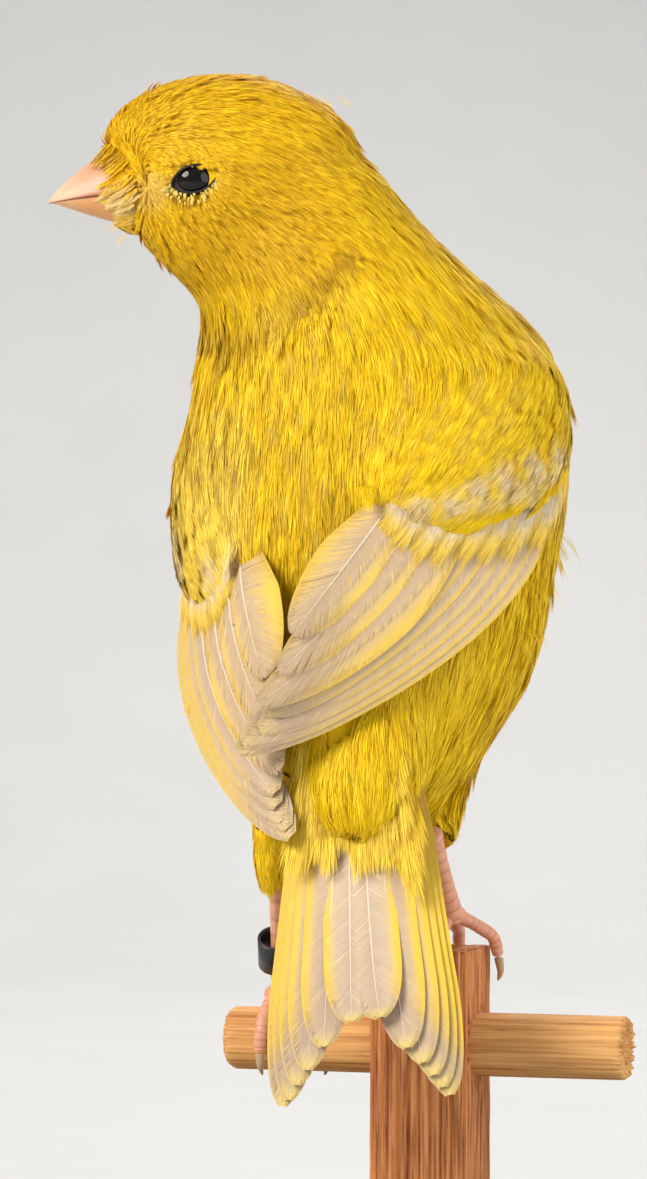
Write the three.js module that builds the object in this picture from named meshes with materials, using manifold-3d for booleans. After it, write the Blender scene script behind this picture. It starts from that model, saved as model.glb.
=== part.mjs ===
// A life-size canary looking back over its left shoulder, gripping a cut length of T-shaped perch on a plain stand.
// Millimetres, +Z up. The dowel of the perch runs along X and the post stands on the origin.
import * as THREE from 'three';
import { mergeVertices } from 'three/addons/utils/BufferGeometryUtils.js';
import Module from 'manifold-3d';

const wasm = await Module();
wasm.setup();

// Clearances and mesh limits
const GAP = 0.3;
const WELD = 0.001;
const CLEAN = 0.015;
const FAR = 400;
const CUT = GAP + 0.1;
const DEEP_CUT = GAP + 0.35;

// Stand and perch
const BASE_RADIUS = 40;
const BASE_HEIGHT = 6;
const BASE_EASE = 0.8;
const ROD_RADIUS = 4;
const PERCH_HEIGHT = 32;
const POST_SIDE = 12.7;
const POST_TOP = 12.05;
const POST_BOTTOM = -19.5;
const POST_FLUTES = 5;
const FLUTE_DEPTH = 0.35;
const DOWEL_RADIUS = 4;
const DOWEL_LEFT = -26.4;
const DOWEL_RIGHT = 26;
const DOWEL_EASE = 0.7;

// The bird is laid out in a frame turned about the post: u to the right, d away, z above the dowel's axis
const SIGHT_TURN = THREE.MathUtils.degToRad(17.5);
const BODY_TURN = THREE.MathUtils.degToRad(24);
const BODY_U = -7;
const BODY_D = 3;

// Torso girths from the vent up: height, left, right, back, breast
const TORSO = [
  [26, -7, -7, -4, -4],
  [28, -14, 0, -10, 4],
  [33, -23, 4.6, -15.2, 11],
  [39.5, -28, 8.8, -17.4, 17],
  [47.5, -30.2, 13.6, -18.4, 21.5],
  [56, -31, 15.2, -18.8, 25],
  [66, -31.4, 17.2, -18.8, 25.5],
  [76, -31, 17.8, -18.4, 25],
  [84, -29.6, 16.4, -17.4, 22.5],
  [90, -28, 12.4, -15, 20],
  [95, -26, 5, -11, 15],
  [98.5, -20, -3, -5, 9],
  [99.5, -11, -11, 2, 2],
];

// Neck girths from the shoulders to the head: throat u and z, nape u and z, near and far sides
const NECK = [
  [-8, 80, -8, 80, 3, 3],
  [-27.6, 84, 14.6, 83, -15, 21],
  [-28.6, 88.4, 14.4, 88.8, -14.6, 19.5],
  [-28.7, 91.6, 9, 93.6, -13.6, 17],
  [-30.2, 94.2, 2, 100, -12.4, 14],
  [-31.6, 96.6, -3.6, 106, -11.2, 12],
  [-30, 99.5, -8, 111, -10, 10],
  [-21, 106, -21, 106, 0, 0],
];

// Head outline: radii round its centre in even steps from the bill, up over the crown and back under the chin
const HEAD_U = -25.3;
const HEAD_Z = 107.7;
const HEAD_OUTLINE = [14.6, 17.0, 16.0, 14.7, 14.1, 14.4, 15.5, 17.3, 17.0, 16, 14.6, 14, 14.3, 13.7, 12.7, 13.6];
const HEAD_HALF_WIDTH = 11.3;
const FACE_NARROWING = 0.34;
const FACE_START = 3;
const FACE_END = 17;
const SIDE_SQUARENESS = 0.88;

// Thin cuts that part the head from the neck and the neck from the torso
const HEAD_CUT_U = -18;
const HEAD_CUT_Z = 101.2;
const HEAD_CUT_LEAN = THREE.MathUtils.degToRad(40.3);
const NECK_CUT_Z = 86.4;

// Bill stations from inside the face to the tip: u, top z, bottom z, half width
const BILL = [
  [-35, 110, 105, 2],
  [-37, 112.6, 103.4, 4.2],
  [-39.6, 112.6, 103.1, 4.2],
  [-41.9, 111.8, 103.5, 3.55],
  [-44.2, 110.4, 104.1, 2.6],
  [-46.4, 108.3, 104.9, 1.4],
  [-47.6, 106.9, 105.3, 0.7],
  [-48.1, 105.7, 105.5, 0.1],
];
const GAPE_U = -48;
const GAPE_Z = 105.55;
const GAPE_LEAN = THREE.MathUtils.degToRad(6.7);
const NOSTRIL = [-41.2, 2.9, 109.6];
const NOSTRIL_RADIUS = 0.55;

// Eyes and lids
const EYE_U = -29.4;
const EYE_Z = 108.6;
const EYE_OUT = 9.1;
const EYE_RADIUS = 2.2;
const LID_OUT = 10.95;
const LID_TUBE = 0.46;
const LID_LENGTH = 2.8;
const LID_HEIGHT = 2.35;
const LID_SLANT = THREE.MathUtils.degToRad(8);

// Wings, one row a side, in the body's own frame: to the side, forward, up
const WINGS = {
  right: {
    side: 1,
    roots: [[21.5, 2, 74], [9, -18, 68.5]],
    middles: [[19.6, -12.8, 54.5], [5.5, -27.6, 60.5]],
    tips: [[-5.4, -30.4, 37], [-0.5, -33, 48]],
    armTurn: 66,
    armHeight: 74.5,
  },
  left: {
    side: -1,
    roots: [[-21.5, 1, 65], [-9, -19, 60.5]],
    middles: [[-18.4, -14.2, 45], [-5, -25.4, 54]],
    tips: [[-0.4, -24.6, 26.8], [-1, -27, 42]],
    armTurn: 66,
    armHeight: 66,
  },
};
const FLIGHT_VANES = 7;
const VANE_THICKNESS = 0.5;
const FLIGHT_OUTER_WEB = 2.1;
const FLIGHT_INNER_WEB = 4.1;
const FLIGHT_VARIETY = 0.35;
const FLIGHT_CLEAR = 0.24;
const FLIGHT_STEEPEST = 0.8;
const PROBE = 0.02;
const COVERT_ROOT = 0.06;
const COVERT_TIP = 0.4;
const COVERT_INNER_WEB = 2.9;
const COVERT_LEVEL = 2.35;
const BED_COLUMNS = 4;
const BED_ROWS = 7;
const BED_MARGIN = 0.3;
const BED_DEPTH = 2.5;
const BED_HEIGHT = 9;
const ARM_SWEEP = 50;
const ARM_RISE = 11.5;
const ARM_SHEAR = 3;
const ARM_DEPTH = 3.1;
const ARM_BACK_RADIUS = 21.2;
const ARM_SIDE_RADIUS = 23.4;

// Tail: root and end of its middle line, and the turn of its width, in the laid-out frame
const TAIL_PAIRS = 6;
const TAIL_ROOT = [-9.4, -12.5, 40];
const TAIL_MIDDLE = [-9, -21, 19];
const TAIL_END = [-8.2, -29.6, 1.5];
const TAIL_TURN = THREE.MathUtils.degToRad(14);
const TAIL_ROOT_SPREAD = 2.8;
const TAIL_END_SPREAD = 9.4;
const TAIL_FORK = 8;
const TAIL_WEB = 3;
const TAIL_INNER_CLEAR = 0.2;
const TAIL_ROOT_LEVEL = 0.92;
const TAIL_END_LEVEL = 0.9;
const RUMP = [[-8.6, -8, 47], [-8.8, -11.5, 39], [-9, -16.2, 32], [-9.2, -19.4, 26.5]];
const RUMP_RADII = [8.5, 8, 6.2, 3.4];
const RUMP_FLAT = 1.2;

// Share of the length at each row of a vane, and the share of its full width there
const VANE_ROWS = [0, 0.26, 0.52, 0.78, 0.93, 1];
const VANE_WIDTHS = [0.3, 0.66, 0.95, 1, 0.66, 0.16];

// Legs: thighs and shanks in the laid-out frame, toes in the perch's own axes
const LEGS = {
  right: {
    thigh: [[-1, 2, 42], [0.2, -2, 34], [0.8, -5.6, 28.4], [0.4, -8, 24.4]],
    shank: [[-0.2, -9.6, 27], [1.5, -4.8, 21], [3, -0.7, 15.6]],
    palm: [2.9, 0.2, 16.1],
  },
  left: {
    thigh: [[-16, 5, 40], [-17.4, 2, 31], [-18.8, -2.6, 23.6], [-19.3, -5.8, 18.8]],
    shank: [[-19.4, -8, 20.6], [-19.3, -1, 12.8], [-19.1, 6.2, 4.9]],
    palm: [-20.2, 0.4, 5.6],
  },
};
const THIGH_RADII = [8, 5.6, 3, 2];
const SHANK_RADIUS = 1.05;
const PALM_RADIUS = 1.6;
const PALM_HEIGHT = 1.15;
const TOE_RADIUS = 0.8;
const CLAW_RADII = [0.52, 0.46, 0.3, 0.12];
const GRIP = DOWEL_RADIUS + GAP + TOE_RADIUS + 0.1;
// Toes of the left foot round the dowel: end along X, turn round the dowel where the toe and its claw end
const LEFT_TOES = [
  [-20.9, -104, -138],
  [-18.8, 118, 152],
  [-17.2, 128, 160],
  [-14.9, 112, 146],
];
// Toes of the right foot over the end of the post
const RIGHT_TOES = [
  [[2.5, -0.6, 15.8], [2.3, -3, 14.2], [2.1, -5.2, 13.5], [2, -6.9, 13.3]],
  [[3.4, 0.4, 16.1], [5.2, 1.9, 14.95], [7.2, 3.5, 13.25], [7.7, 4.4, 10.8]],
  [[2.8, 0.8, 16], [2.3, 3.8, 14.6], [1.9, 6.6, 13.7], [1.6, 7.75, 11.4]],
  [[2.3, 0.6, 15.9], [-0.4, 3.2, 14.4], [-2.9, 6.1, 13.7], [-3.9, 7.75, 11.6]],
];
const RIGHT_CLAWS = [
  [[2, -7.3, 13.2], [1.95, -8.1, 12.4], [1.9, -8.2, 11]],
  [[7.72, 4.5, 10.4], [7.8, 5, 8.8], [7.4, 5.2, 7.6]],
  [[1.58, 7.8, 11], [1.5, 7.9, 9.5], [1.45, 7.4, 8.3]],
  [[-3.97, 7.8, 11.2], [-4.2, 7.9, 9.7], [-4.3, 7.4, 8.5]],
];
const RING_INNER = 1.8;
const RING_OUTER = 2.2;
const RING_HEIGHT = 4.6;
const RING_SHARE = 0.66;
const RING_SHIFT = -0.42;

const COLOURS = {
  plumage: 0xe8c82c,
  feather: 0xe3cfae,
  bill: 0xf0c9ae,
  eye: 0x0c0908,
  lid: 0xe6cf6a,
  leg: 0xcf7f62,
  claw: 0xb98a72,
  ring: 0x1c1c1e,
  wood: 0xc48f5f,
  stand: 0x3a3733,
};

const group = new THREE.Group();

// A point of the laid-out frame in the frame of the perch
function seen(u, d, z) {
  const x = u * Math.cos(SIGHT_TURN) - d * Math.sin(SIGHT_TURN);
  const y = u * Math.sin(SIGHT_TURN) + d * Math.cos(SIGHT_TURN);
  return new THREE.Vector3(x, y, z + PERCH_HEIGHT);
}

// A point given to the bird's right, forward and up from the axis of its body
function onBody([right, forward, z]) {
  const u = BODY_U + right * Math.cos(BODY_TURN) + forward * Math.sin(BODY_TURN);
  const d = BODY_D - right * Math.sin(BODY_TURN) + forward * Math.cos(BODY_TURN);
  return seen(u, d, z);
}

// A point above the dowel, in the perch's own axes
function onPerch(x, y, z) {
  return new THREE.Vector3(x, y, z + PERCH_HEIGHT);
}

function mix(a, b, share) {
  return a + (b - a) * share;
}

function welded(geometry) {
  const bare = geometry.clone();
  bare.deleteAttribute('normal');
  bare.deleteAttribute('uv');
  return mergeVertices(bare, WELD);
}

// A closed body from a closed geometry, its skin moved outward by `grow`
function solidOf(geometry, grow = 0) {
  const merged = welded(geometry);
  if (grow > 0) {
    merged.computeVertexNormals();
    const position = merged.attributes.position;
    const normal = merged.attributes.normal;
    for (let i = 0; i < position.count; i += 1) {
      const x = position.getX(i) + normal.getX(i) * grow;
      const y = position.getY(i) + normal.getY(i) * grow;
      const z = position.getZ(i) + normal.getZ(i) * grow;
      position.setXYZ(i, x, y, z);
    }
  }
  const vertProperties = new Float32Array(merged.attributes.position.array);
  const triVerts = new Uint32Array(merged.index.array);
  return new wasm.Manifold(new wasm.Mesh({ numProp: 3, vertProperties, triVerts }));
}

function geometryOf(solid) {
  const mesh = solid.getMesh();
  const geometry = new THREE.BufferGeometry();
  geometry.setAttribute('position', new THREE.BufferAttribute(new Float32Array(mesh.vertProperties), 3));
  geometry.setIndex(new THREE.BufferAttribute(new Uint32Array(mesh.triVerts), 1));
  geometry.computeVertexNormals();
  return geometry;
}

function largest(solid) {
  return solid.decompose().reduce((best, piece) => (piece.volume() > best.volume() ? piece : best));
}

function fused(solids) {
  return solids.reduce((all, one) => all.add(one));
}

function addNode(name, solid, colour, roughness = 0.8) {
  const geometry = geometryOf(largest(solid.simplify(CLEAN)));
  const mesh = new THREE.Mesh(geometry, new THREE.MeshStandardMaterial({ color: colour, roughness }));
  mesh.name = name;
  group.add(mesh);
}

// A ball whose skin is sent to pointAt(share of height, angle), counter-clockwise seen from its top
function ball(around, along, pointAt) {
  const geometry = new THREE.SphereGeometry(1, around, along);
  const position = geometry.attributes.position;
  const uv = geometry.attributes.uv;
  for (let i = 0; i < position.count; i += 1) {
    const row = Math.round(uv.getY(i) * along);
    const pole = row === 0 || row === along;
    const angle = pole ? 0 : Math.PI + 2 * Math.PI * uv.getX(i);
    const point = pointAt(uv.getY(i), angle);
    position.setXYZ(i, point.x, point.y, point.z);
  }
  return geometry;
}

// Eased spacing that crowds the rows of a ball towards its two ends
function crowded(share, amount) {
  const eased = (1 - Math.cos(Math.PI * share)) / 2;
  return mix(share, eased, amount);
}

function squared(value, power) {
  return Math.sign(value) * Math.abs(value) ** power;
}

function rounded(share, cap) {
  const inset = Math.min(share, 1 - share);
  return inset >= cap ? 1 : Math.sqrt(Math.max(0, 1 - (1 - inset / cap) ** 2));
}

function curveThrough(points) {
  return new THREE.CatmullRomCurve3(points, false, 'catmullrom', 0.5);
}

function torsoShape() {
  const low = curveThrough(TORSO.map(([z, left, , back]) => new THREE.Vector3(left, back, z)));
  const high = curveThrough(TORSO.map(([z, , right, , breast]) => new THREE.Vector3(right, breast, z)));
  return ball(28, 18, (height, angle) => {
    const share = crowded(height, 0.35);
    const a = low.getPoint(share);
    const b = high.getPoint(share);
    const u = (a.x + b.x) / 2 + ((b.x - a.x) / 2) * squared(Math.cos(angle), 0.94);
    const d = (a.y + b.y) / 2 + ((b.y - a.y) / 2) * squared(Math.sin(angle), 0.94);
    return seen(u, d, a.z);
  });
}

function neckShape() {
  const throat = curveThrough(NECK.map(([u, z]) => new THREE.Vector3(u, 0, z)));
  const nape = curveThrough(NECK.map(([, , u, z]) => new THREE.Vector3(u, 0, z)));
  const sides = curveThrough(NECK.map(([, , , , near, far]) => new THREE.Vector3(near, far, 0)));
  return ball(24, 11, (height, angle) => {
    const share = crowded(height, 0.3);
    const a = throat.getPoint(share);
    const b = nape.getPoint(share);
    const s = sides.getPoint(share);
    const across = (1 + Math.cos(angle)) / 2;
    const d = (s.x + s.y) / 2 + ((s.y - s.x) / 2) * Math.sin(angle);
    return seen(mix(a.x, b.x, across), d, mix(a.z, b.z, across));
  });
}

function headShape() {
  const steps = HEAD_OUTLINE.length;
  const ring = HEAD_OUTLINE.map((radius, i) => {
    const angle = (2 * Math.PI * i) / steps;
    return new THREE.Vector3(-radius * Math.cos(angle), 0, radius * Math.sin(angle));
  });
  const outline = new THREE.CatmullRomCurve3(ring, true, 'catmullrom', 0.5);
  return ball(26, 14, (height, angle) => {
    const turn = (angle + Math.PI / 2) / (2 * Math.PI);
    const edge = outline.getPoint(((turn % 1) + 1) % 1);
    const polar = Math.PI * (1 - height);
    const reach = Math.sin(polar) ** SIDE_SQUARENESS;
    const x = edge.x * reach;
    const forward = THREE.MathUtils.smoothstep(-x, FACE_START, FACE_END);
    const width = HEAD_HALF_WIDTH * (1 - FACE_NARROWING * forward);
    return seen(HEAD_U + x, width * squared(Math.cos(polar), SIDE_SQUARENESS), HEAD_Z + edge.z * reach);
  });
}

// A round-ended body swept along a path, wider across than through by `flat`
function spindle({ path, radii, cap = 0.1, flat = 1, around = 12, along = 10, lean = [0, 0, 1] }) {
  const curve = curveThrough(path);
  const sizes = curveThrough(radii.map((radius) => new THREE.Vector3(radius, 0, 0)));
  const up = new THREE.Vector3(...lean);
  return ball(around, along, (height, angle) => {
    const share = crowded(height, 0.8);
    const centre = curve.getPoint(share);
    const ahead = curve.getTangent(share);
    const right = new THREE.Vector3().crossVectors(ahead, up).normalize();
    const forward = new THREE.Vector3().crossVectors(ahead, right);
    const radius = sizes.getPoint(share).x * rounded(share, cap);
    centre.addScaledVector(right, radius * Math.cos(angle) * flat);
    return centre.addScaledVector(forward, radius * Math.sin(angle));
  });
}

// A box's back face split along the same diagonals as its front, so that it keeps its thickness when it is twisted
function splitAlike(geometry) {
  const index = geometry.index;
  const { start, count } = geometry.groups[5];
  for (let i = start; i < start + count; i += 6) {
    const first = index.getX(i);
    const third = index.getX(i + 4);
    index.setX(i + 2, third);
    index.setX(i + 3, first);
  }
  return geometry;
}

// One feather vane: a tapered blade along its shaft, facing `outward`, with a web on either side
function vane({ root, middle, tip, outward, webs, tilt, lift = [0, 0], grow = 0 }) {
  const bend = middle.clone().multiplyScalar(2).addScaledVector(root, -0.5).addScaledVector(tip, -0.5);
  const shaft = new THREE.QuadraticBezierCurve3(root, bend, tip);
  const rows = VANE_ROWS.length - 1;
  const geometry = splitAlike(new THREE.BoxGeometry(1, 1, 1, 1, rows, 1));
  const position = geometry.attributes.position;
  for (let i = 0; i < position.count; i += 1) {
    const row = Math.round((position.getY(i) + 0.5) * rows);
    const share = VANE_ROWS[row];
    const centre = shaft.getPoint(share);
    const ahead = shaft.getTangent(share);
    const out = outward(share).clone();
    out.addScaledVector(ahead, -out.dot(ahead)).normalize();
    const side = new THREE.Vector3().crossVectors(ahead, out);
    const lean = tilt(share);
    const across = side.clone().multiplyScalar(Math.cos(lean)).addScaledVector(out, Math.sin(lean));
    const through = new THREE.Vector3().crossVectors(across, ahead);
    const web = position.getX(i) > 0 ? webs(share)[1] : -webs(share)[0];
    const half = (VANE_THICKNESS / 2 + grow) * Math.sign(position.getZ(i));
    centre.addScaledVector(out, mix(lift[0], lift[1], share));
    centre.addScaledVector(ahead, grow * Math.sign(2 * row - rows) * (row % rows === 0 ? 1 : 0));
    centre.addScaledVector(across, web * VANE_WIDTHS[row] + grow * Math.sign(web));
    centre.addScaledVector(through, half);
    position.setXYZ(i, centre.x, centre.y, centre.z);
  }
  return geometry;
}

function between(pair, share) {
  return onBody(pair[0].map((value, i) => mix(value, pair[1][i], share)));
}

// Straight out from the axis of the body
function outFromAxis(point) {
  const axis = onBody([0, 0, 0]);
  return new THREE.Vector3(point.x - axis.x, point.y - axis.y, 0).normalize();
}

// The shaft of the vane at `share` of the way from the wing's leading edge to its trailing edge
function shaftPoints(wing, share) {
  return [between(wing.roots, share), between(wing.middles, share), between(wing.tips, share)];
}

// A point of the curved surface that all of a wing's shafts lie in
function onWing(wing, share, along) {
  const [root, middle, tip] = shaftPoints(wing, share);
  const bend = middle.clone().multiplyScalar(2).addScaledVector(root, -0.5).addScaledVector(tip, -0.5);
  return new THREE.QuadraticBezierCurve3(root, bend, tip).getPoint(along);
}

// The way from one shaft to the next at `along`, square to the shaft itself
function stepAcross(wing, share, along) {
  const ahead = onWing(wing, share, along + PROBE).sub(onWing(wing, share, along - PROBE)).normalize();
  const step = onWing(wing, share + PROBE, along).sub(onWing(wing, share - PROBE, along));
  step.addScaledVector(ahead, -step.dot(ahead)).divideScalar(2 * PROBE * (FLIGHT_VANES - 1));
  return { ahead, step };
}

function wingOut(wing, share, along) {
  const { ahead, step } = stepAcross(wing, share, along);
  return new THREE.Vector3().crossVectors(ahead, step).multiplyScalar(wing.side).normalize();
}

// The tilt that keeps each vane clear of the next, wherever the shafts run closer together
function wingTilt(wing, share, along) {
  const { step } = stepAcross(wing, share, along);
  const apart = VANE_THICKNESS + GAP + FLIGHT_CLEAR;
  return -wing.side * Math.asin(Math.min(FLIGHT_STEEPEST, apart / step.length()));
}

function flightVanes(wing, grow) {
  const webs = wing.side > 0 ? [FLIGHT_OUTER_WEB, FLIGHT_INNER_WEB] : [FLIGHT_INNER_WEB, FLIGHT_OUTER_WEB];
  const vanes = [];
  for (let k = 0; k < FLIGHT_VANES; k += 1) {
    const share = k / (FLIGHT_VANES - 1);
    const [root, middle, tip] = shaftPoints(wing, share);
    root.z += FLIGHT_VARIETY * Math.sin(5.1 * k);
    tip.z += FLIGHT_VARIETY * Math.sin(3.7 * k);
    const outward = (s) => wingOut(wing, share, s);
    vanes.push(vane({ root, middle, tip, outward, webs: () => webs, tilt: (s) => wingTilt(wing, share, s), grow }));
  }
  return vanes;
}

// The shorter tier over the roots of the flight vanes, two vane steps above them
function covertVanes(wing, grow) {
  const webs = wing.side > 0 ? [FLIGHT_OUTER_WEB, COVERT_INNER_WEB] : [COVERT_INNER_WEB, FLIGHT_OUTER_WEB];
  const vanes = [];
  for (let k = 0; k < FLIGHT_VANES - 1; k += 1) {
    const share = k / (FLIGHT_VANES - 1);
    const alongAt = (s) => mix(COVERT_ROOT, COVERT_TIP + 0.02 * Math.sin(2.3 * k), s);
    const [root, middle, tip] = [0, 0.5, 1].map((s) => onWing(wing, share, alongAt(s)));
    const outward = (s) => wingOut(wing, share, alongAt(s));
    const tilt = (s) => wingTilt(wing, share, alongAt(s));
    const lift = [COVERT_LEVEL, COVERT_LEVEL];
    vanes.push(vane({ root, middle, tip, outward, webs: () => webs, tilt, lift, grow }));
  }
  return vanes;
}

// The shallow bed that the folded wing lies in: a slab round all its vanes, open to the outside
function wingBed(wing) {
  const geometry = splitAlike(new THREE.BoxGeometry(1, 1, 1, BED_COLUMNS, BED_ROWS, 1));
  const position = geometry.attributes.position;
  for (let i = 0; i < position.count; i += 1) {
    const share = mix(-BED_MARGIN, 1 + BED_MARGIN, (position.getX(i) * wing.side) + 0.5);
    const along = mix(-0.05, 1.04, position.getY(i) + 0.5);
    const point = onWing(wing, share, along);
    const out = outFromAxis(point);
    point.addScaledVector(out, position.getZ(i) > 0 ? BED_HEIGHT : -BED_DEPTH);
    position.setXYZ(i, point.x, point.y, point.z);
  }
  return geometry;
}

// The folded arm under its small coverts, curved round the side of the body
function armShape(wing) {
  return ball(24, 10, (height, angle) => {
    const polar = Math.PI * (1 - height);
    const a = Math.sin(polar) * Math.cos(angle);
    const b = Math.sin(polar) * Math.sin(angle) * wing.side;
    const c = Math.cos(polar);
    const turn = THREE.MathUtils.degToRad(wing.armTurn + ARM_SWEEP * a);
    const rest = mix(ARM_BACK_RADIUS, ARM_SIDE_RADIUS, THREE.MathUtils.smoothstep(a, -1, 0.6));
    const radius = rest + ARM_DEPTH * c;
    const z = wing.armHeight + ARM_RISE * b + ARM_SHEAR * a;
    return onBody([wing.side * radius * Math.sin(turn), -radius * Math.cos(turn), z]);
  });
}


const SIDEWAYS = seen(1, 0, 0).sub(seen(0, 0, 0));
const AWAY = seen(0, 1, 0).sub(seen(0, 0, 0));
const UP = new THREE.Vector3(0, 0, 1);

// Everything on the side of a plane that its normal points to
function halfSpace(point, normal) {
  const geometry = new THREE.BoxGeometry(FAR, FAR, FAR).translate(0, 0, FAR / 2);
  geometry.applyQuaternion(new THREE.Quaternion().setFromUnitVectors(UP, normal));
  return solidOf(geometry.translate(point.x, point.y, point.z));
}

// The two parts of a body on either side of a thin cut that leans by `lean` in the sideways plane
function parted(solid, u, z, lean) {
  const normal = UP.clone().multiplyScalar(Math.cos(lean)).addScaledVector(SIDEWAYS, -Math.sin(lean));
  const above = seen(u, 0, z).addScaledVector(normal, GAP / 2);
  const below = seen(u, 0, z).addScaledVector(normal, -GAP / 2);
  const upper = solid.intersect(halfSpace(above, normal));
  const lower = solid.intersect(halfSpace(below, normal.clone().negate()));
  return [upper, lower];
}

function billShape() {
  const top = curveThrough(BILL.map(([u, high]) => new THREE.Vector3(u, 0, high)));
  const bottom = curveThrough(BILL.map(([u, , low, width]) => new THREE.Vector3(u, width, low)));
  return ball(16, 14, (height, angle) => {
    const a = top.getPoint(height);
    const b = bottom.getPoint(height);
    const end = height === 0 || height === 1;
    const middle = (a.z + b.z) / 2;
    const half = end ? 0 : (a.z - b.z) / 2;
    const width = end ? 0 : b.y;
    return seen(a.x, -width * Math.cos(angle), middle + half * Math.sin(angle));
  });
}

function eyeShape(side) {
  const geometry = new THREE.SphereGeometry(EYE_RADIUS, 16, 10);
  const at = seen(EYE_U, side * EYE_OUT, EYE_Z);
  return geometry.translate(at.x, at.y, at.z);
}

function lidShape(side) {
  const geometry = new THREE.TorusGeometry(LID_LENGTH, LID_TUBE, 6, 18);
  geometry.scale(1, LID_HEIGHT / LID_LENGTH, 1);
  geometry.rotateZ(LID_SLANT);
  geometry.applyMatrix4(new THREE.Matrix4().makeBasis(SIDEWAYS, UP, AWAY.clone().negate()));
  const at = seen(EYE_U, side * LID_OUT, EYE_Z);
  return geometry.translate(at.x, at.y, at.z);
}

function tailVane(side, rank, grow) {
  const across = SIDEWAYS.clone().multiplyScalar(Math.cos(TAIL_TURN)).addScaledVector(AWAY, -Math.sin(TAIL_TURN));
  const share = (rank - 0.5) / (TAIL_PAIRS - 0.5);
  const level = rank === 1 && side > 0 ? 0 : rank;
  const rootOffset = side * share * TAIL_ROOT_SPREAD;
  const endOffset = side * share * TAIL_END_SPREAD;
  const root = seen(...TAIL_ROOT).addScaledVector(across, rootOffset);
  const middle = seen(...TAIL_MIDDLE).addScaledVector(across, mix(rootOffset, endOffset, 0.42));
  const tip = seen(...TAIL_END).addScaledVector(across, endOffset);
  tip.z -= TAIL_FORK * (share ** 1.3) - TAIL_FORK / 4;
  const out = AWAY.clone().multiplyScalar(-Math.cos(TAIL_TURN)).addScaledVector(SIDEWAYS, -Math.sin(TAIL_TURN));
  out.addScaledVector(UP, 0.45).normalize();
  const inner = (s) => Math.min(TAIL_WEB, Math.abs(mix(rootOffset, endOffset, s)) - TAIL_INNER_CLEAR);
  const narrow = (s) => (rank === 1 ? TAIL_WEB : Math.max(0.5, inner(s)));
  return vane({
    root,
    middle,
    tip,
    outward: () => out,
    webs: (s) => (side > 0 ? [TAIL_WEB, narrow(s)] : [narrow(s), TAIL_WEB]),
    tilt: () => 0,
    lift: [-level * TAIL_ROOT_LEVEL, -level * TAIL_END_LEVEL],
    grow,
  });
}

function tailRootShape() {
  const [u, d, z] = TAIL_ROOT;
  const path = [seen(u, d + 3.6, z + 2.5), seen(u, d + 1, z - 6.5)];
  return spindle({ path, radii: [3.6, 3.4], cap: 0.35, flat: 1.3, along: 8, lean: [0, 1, 0] });
}

function tailSolid(grow = 0) {
  const solids = [solidOf(tailRootShape(), grow)];
  for (let rank = 1; rank <= TAIL_PAIRS; rank += 1) {
    solids.push(solidOf(tailVane(1, rank, grow)), solidOf(tailVane(-1, rank, grow)));
  }
  return fused(solids);
}

function rumpShape() {
  const path = RUMP.map((point) => seen(...point));
  return spindle({ path, radii: RUMP_RADII, cap: 0.2, flat: RUMP_FLAT, around: 20, along: 12, lean: [0, 1, 0] });
}

function legShapes(leg) {
  const thigh = leg.thigh.map((point) => seen(...point));
  const shank = leg.shank.map((point) => seen(...point));
  const shankRadii = shank.map(() => SHANK_RADIUS);
  return {
    thigh: spindle({ path: thigh, radii: THIGH_RADII, cap: 0.12, around: 18, along: 10, lean: [0, 1, 0] }),
    shank: spindle({ path: shank, radii: shankRadii, cap: 0.04, around: 12, along: 8, lean: [0, 1, 0] }),
  };
}

function aroundDowel(x, degrees, radius = GRIP) {
  const angle = THREE.MathUtils.degToRad(degrees);
  return onPerch(x, radius * Math.sin(angle), radius * Math.cos(angle));
}

function leftToePath([endX, endTurn]) {
  const startX = LEGS.left.palm[0];
  return [0.06, 0.3, 0.54, 0.77, 1].map((share) => aroundDowel(mix(startX, endX, share), endTurn * share));
}

function leftClawPath([endX, endTurn, clawTurn]) {
  const step = Math.sign(endTurn) * 4.2;
  const middle = aroundDowel(endX, mix(endTurn, clawTurn, 0.55), GRIP + 0.5);
  return [aroundDowel(endX, endTurn + step), middle, aroundDowel(endX, clawTurn, GRIP + 0.6)];
}

function toeShape(path) {
  const radii = path.map((point, i) => TOE_RADIUS * (i === path.length - 1 ? 0.8 : 1));
  return spindle({ path, radii, cap: 0.05, around: 8, along: 8, lean: [1, 0, 0] });
}

function clawShape(path) {
  return spindle({ path, radii: CLAW_RADII, cap: 0.08, around: 8, along: 6, lean: [1, 0, 0] });
}

function palmShape([x, y, z]) {
  const geometry = new THREE.SphereGeometry(1, 12, 7).scale(PALM_RADIUS, PALM_RADIUS, PALM_HEIGHT);
  return geometry.translate(x, y, z + PERCH_HEIGHT);
}

function ringSolid() {
  const profile = [
    [RING_INNER, -RING_HEIGHT / 2],
    [RING_OUTER, -RING_HEIGHT / 2],
    [RING_OUTER, RING_HEIGHT / 2],
    [RING_INNER, RING_HEIGHT / 2],
    [RING_INNER, -RING_HEIGHT / 2],
  ].map(([x, y]) => new THREE.Vector2(x, y));
  const geometry = new THREE.LatheGeometry(profile, 32).rotateX(Math.PI / 2);
  const shank = LEGS.left.shank.map((point) => seen(...point));
  const axis = shank[0].clone().sub(shank[2]).normalize();
  geometry.applyQuaternion(new THREE.Quaternion().setFromUnitVectors(UP, axis));
  const at = shank[0].clone().lerp(shank[2], RING_SHARE).addScaledVector(SIDEWAYS, RING_SHIFT);
  return solidOf(geometry.translate(at.x, at.y, at.z));
}

function roundBar(radius, start, end, ease) {
  const profile = [
    [0, start],
    [radius - ease, start],
    [radius, start + ease],
    [radius, end - ease],
    [radius - ease, end],
    [0, end],
  ].map(([x, y]) => new THREE.Vector2(x, y));
  return new THREE.LatheGeometry(profile, 28).rotateX(Math.PI / 2);
}

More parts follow.
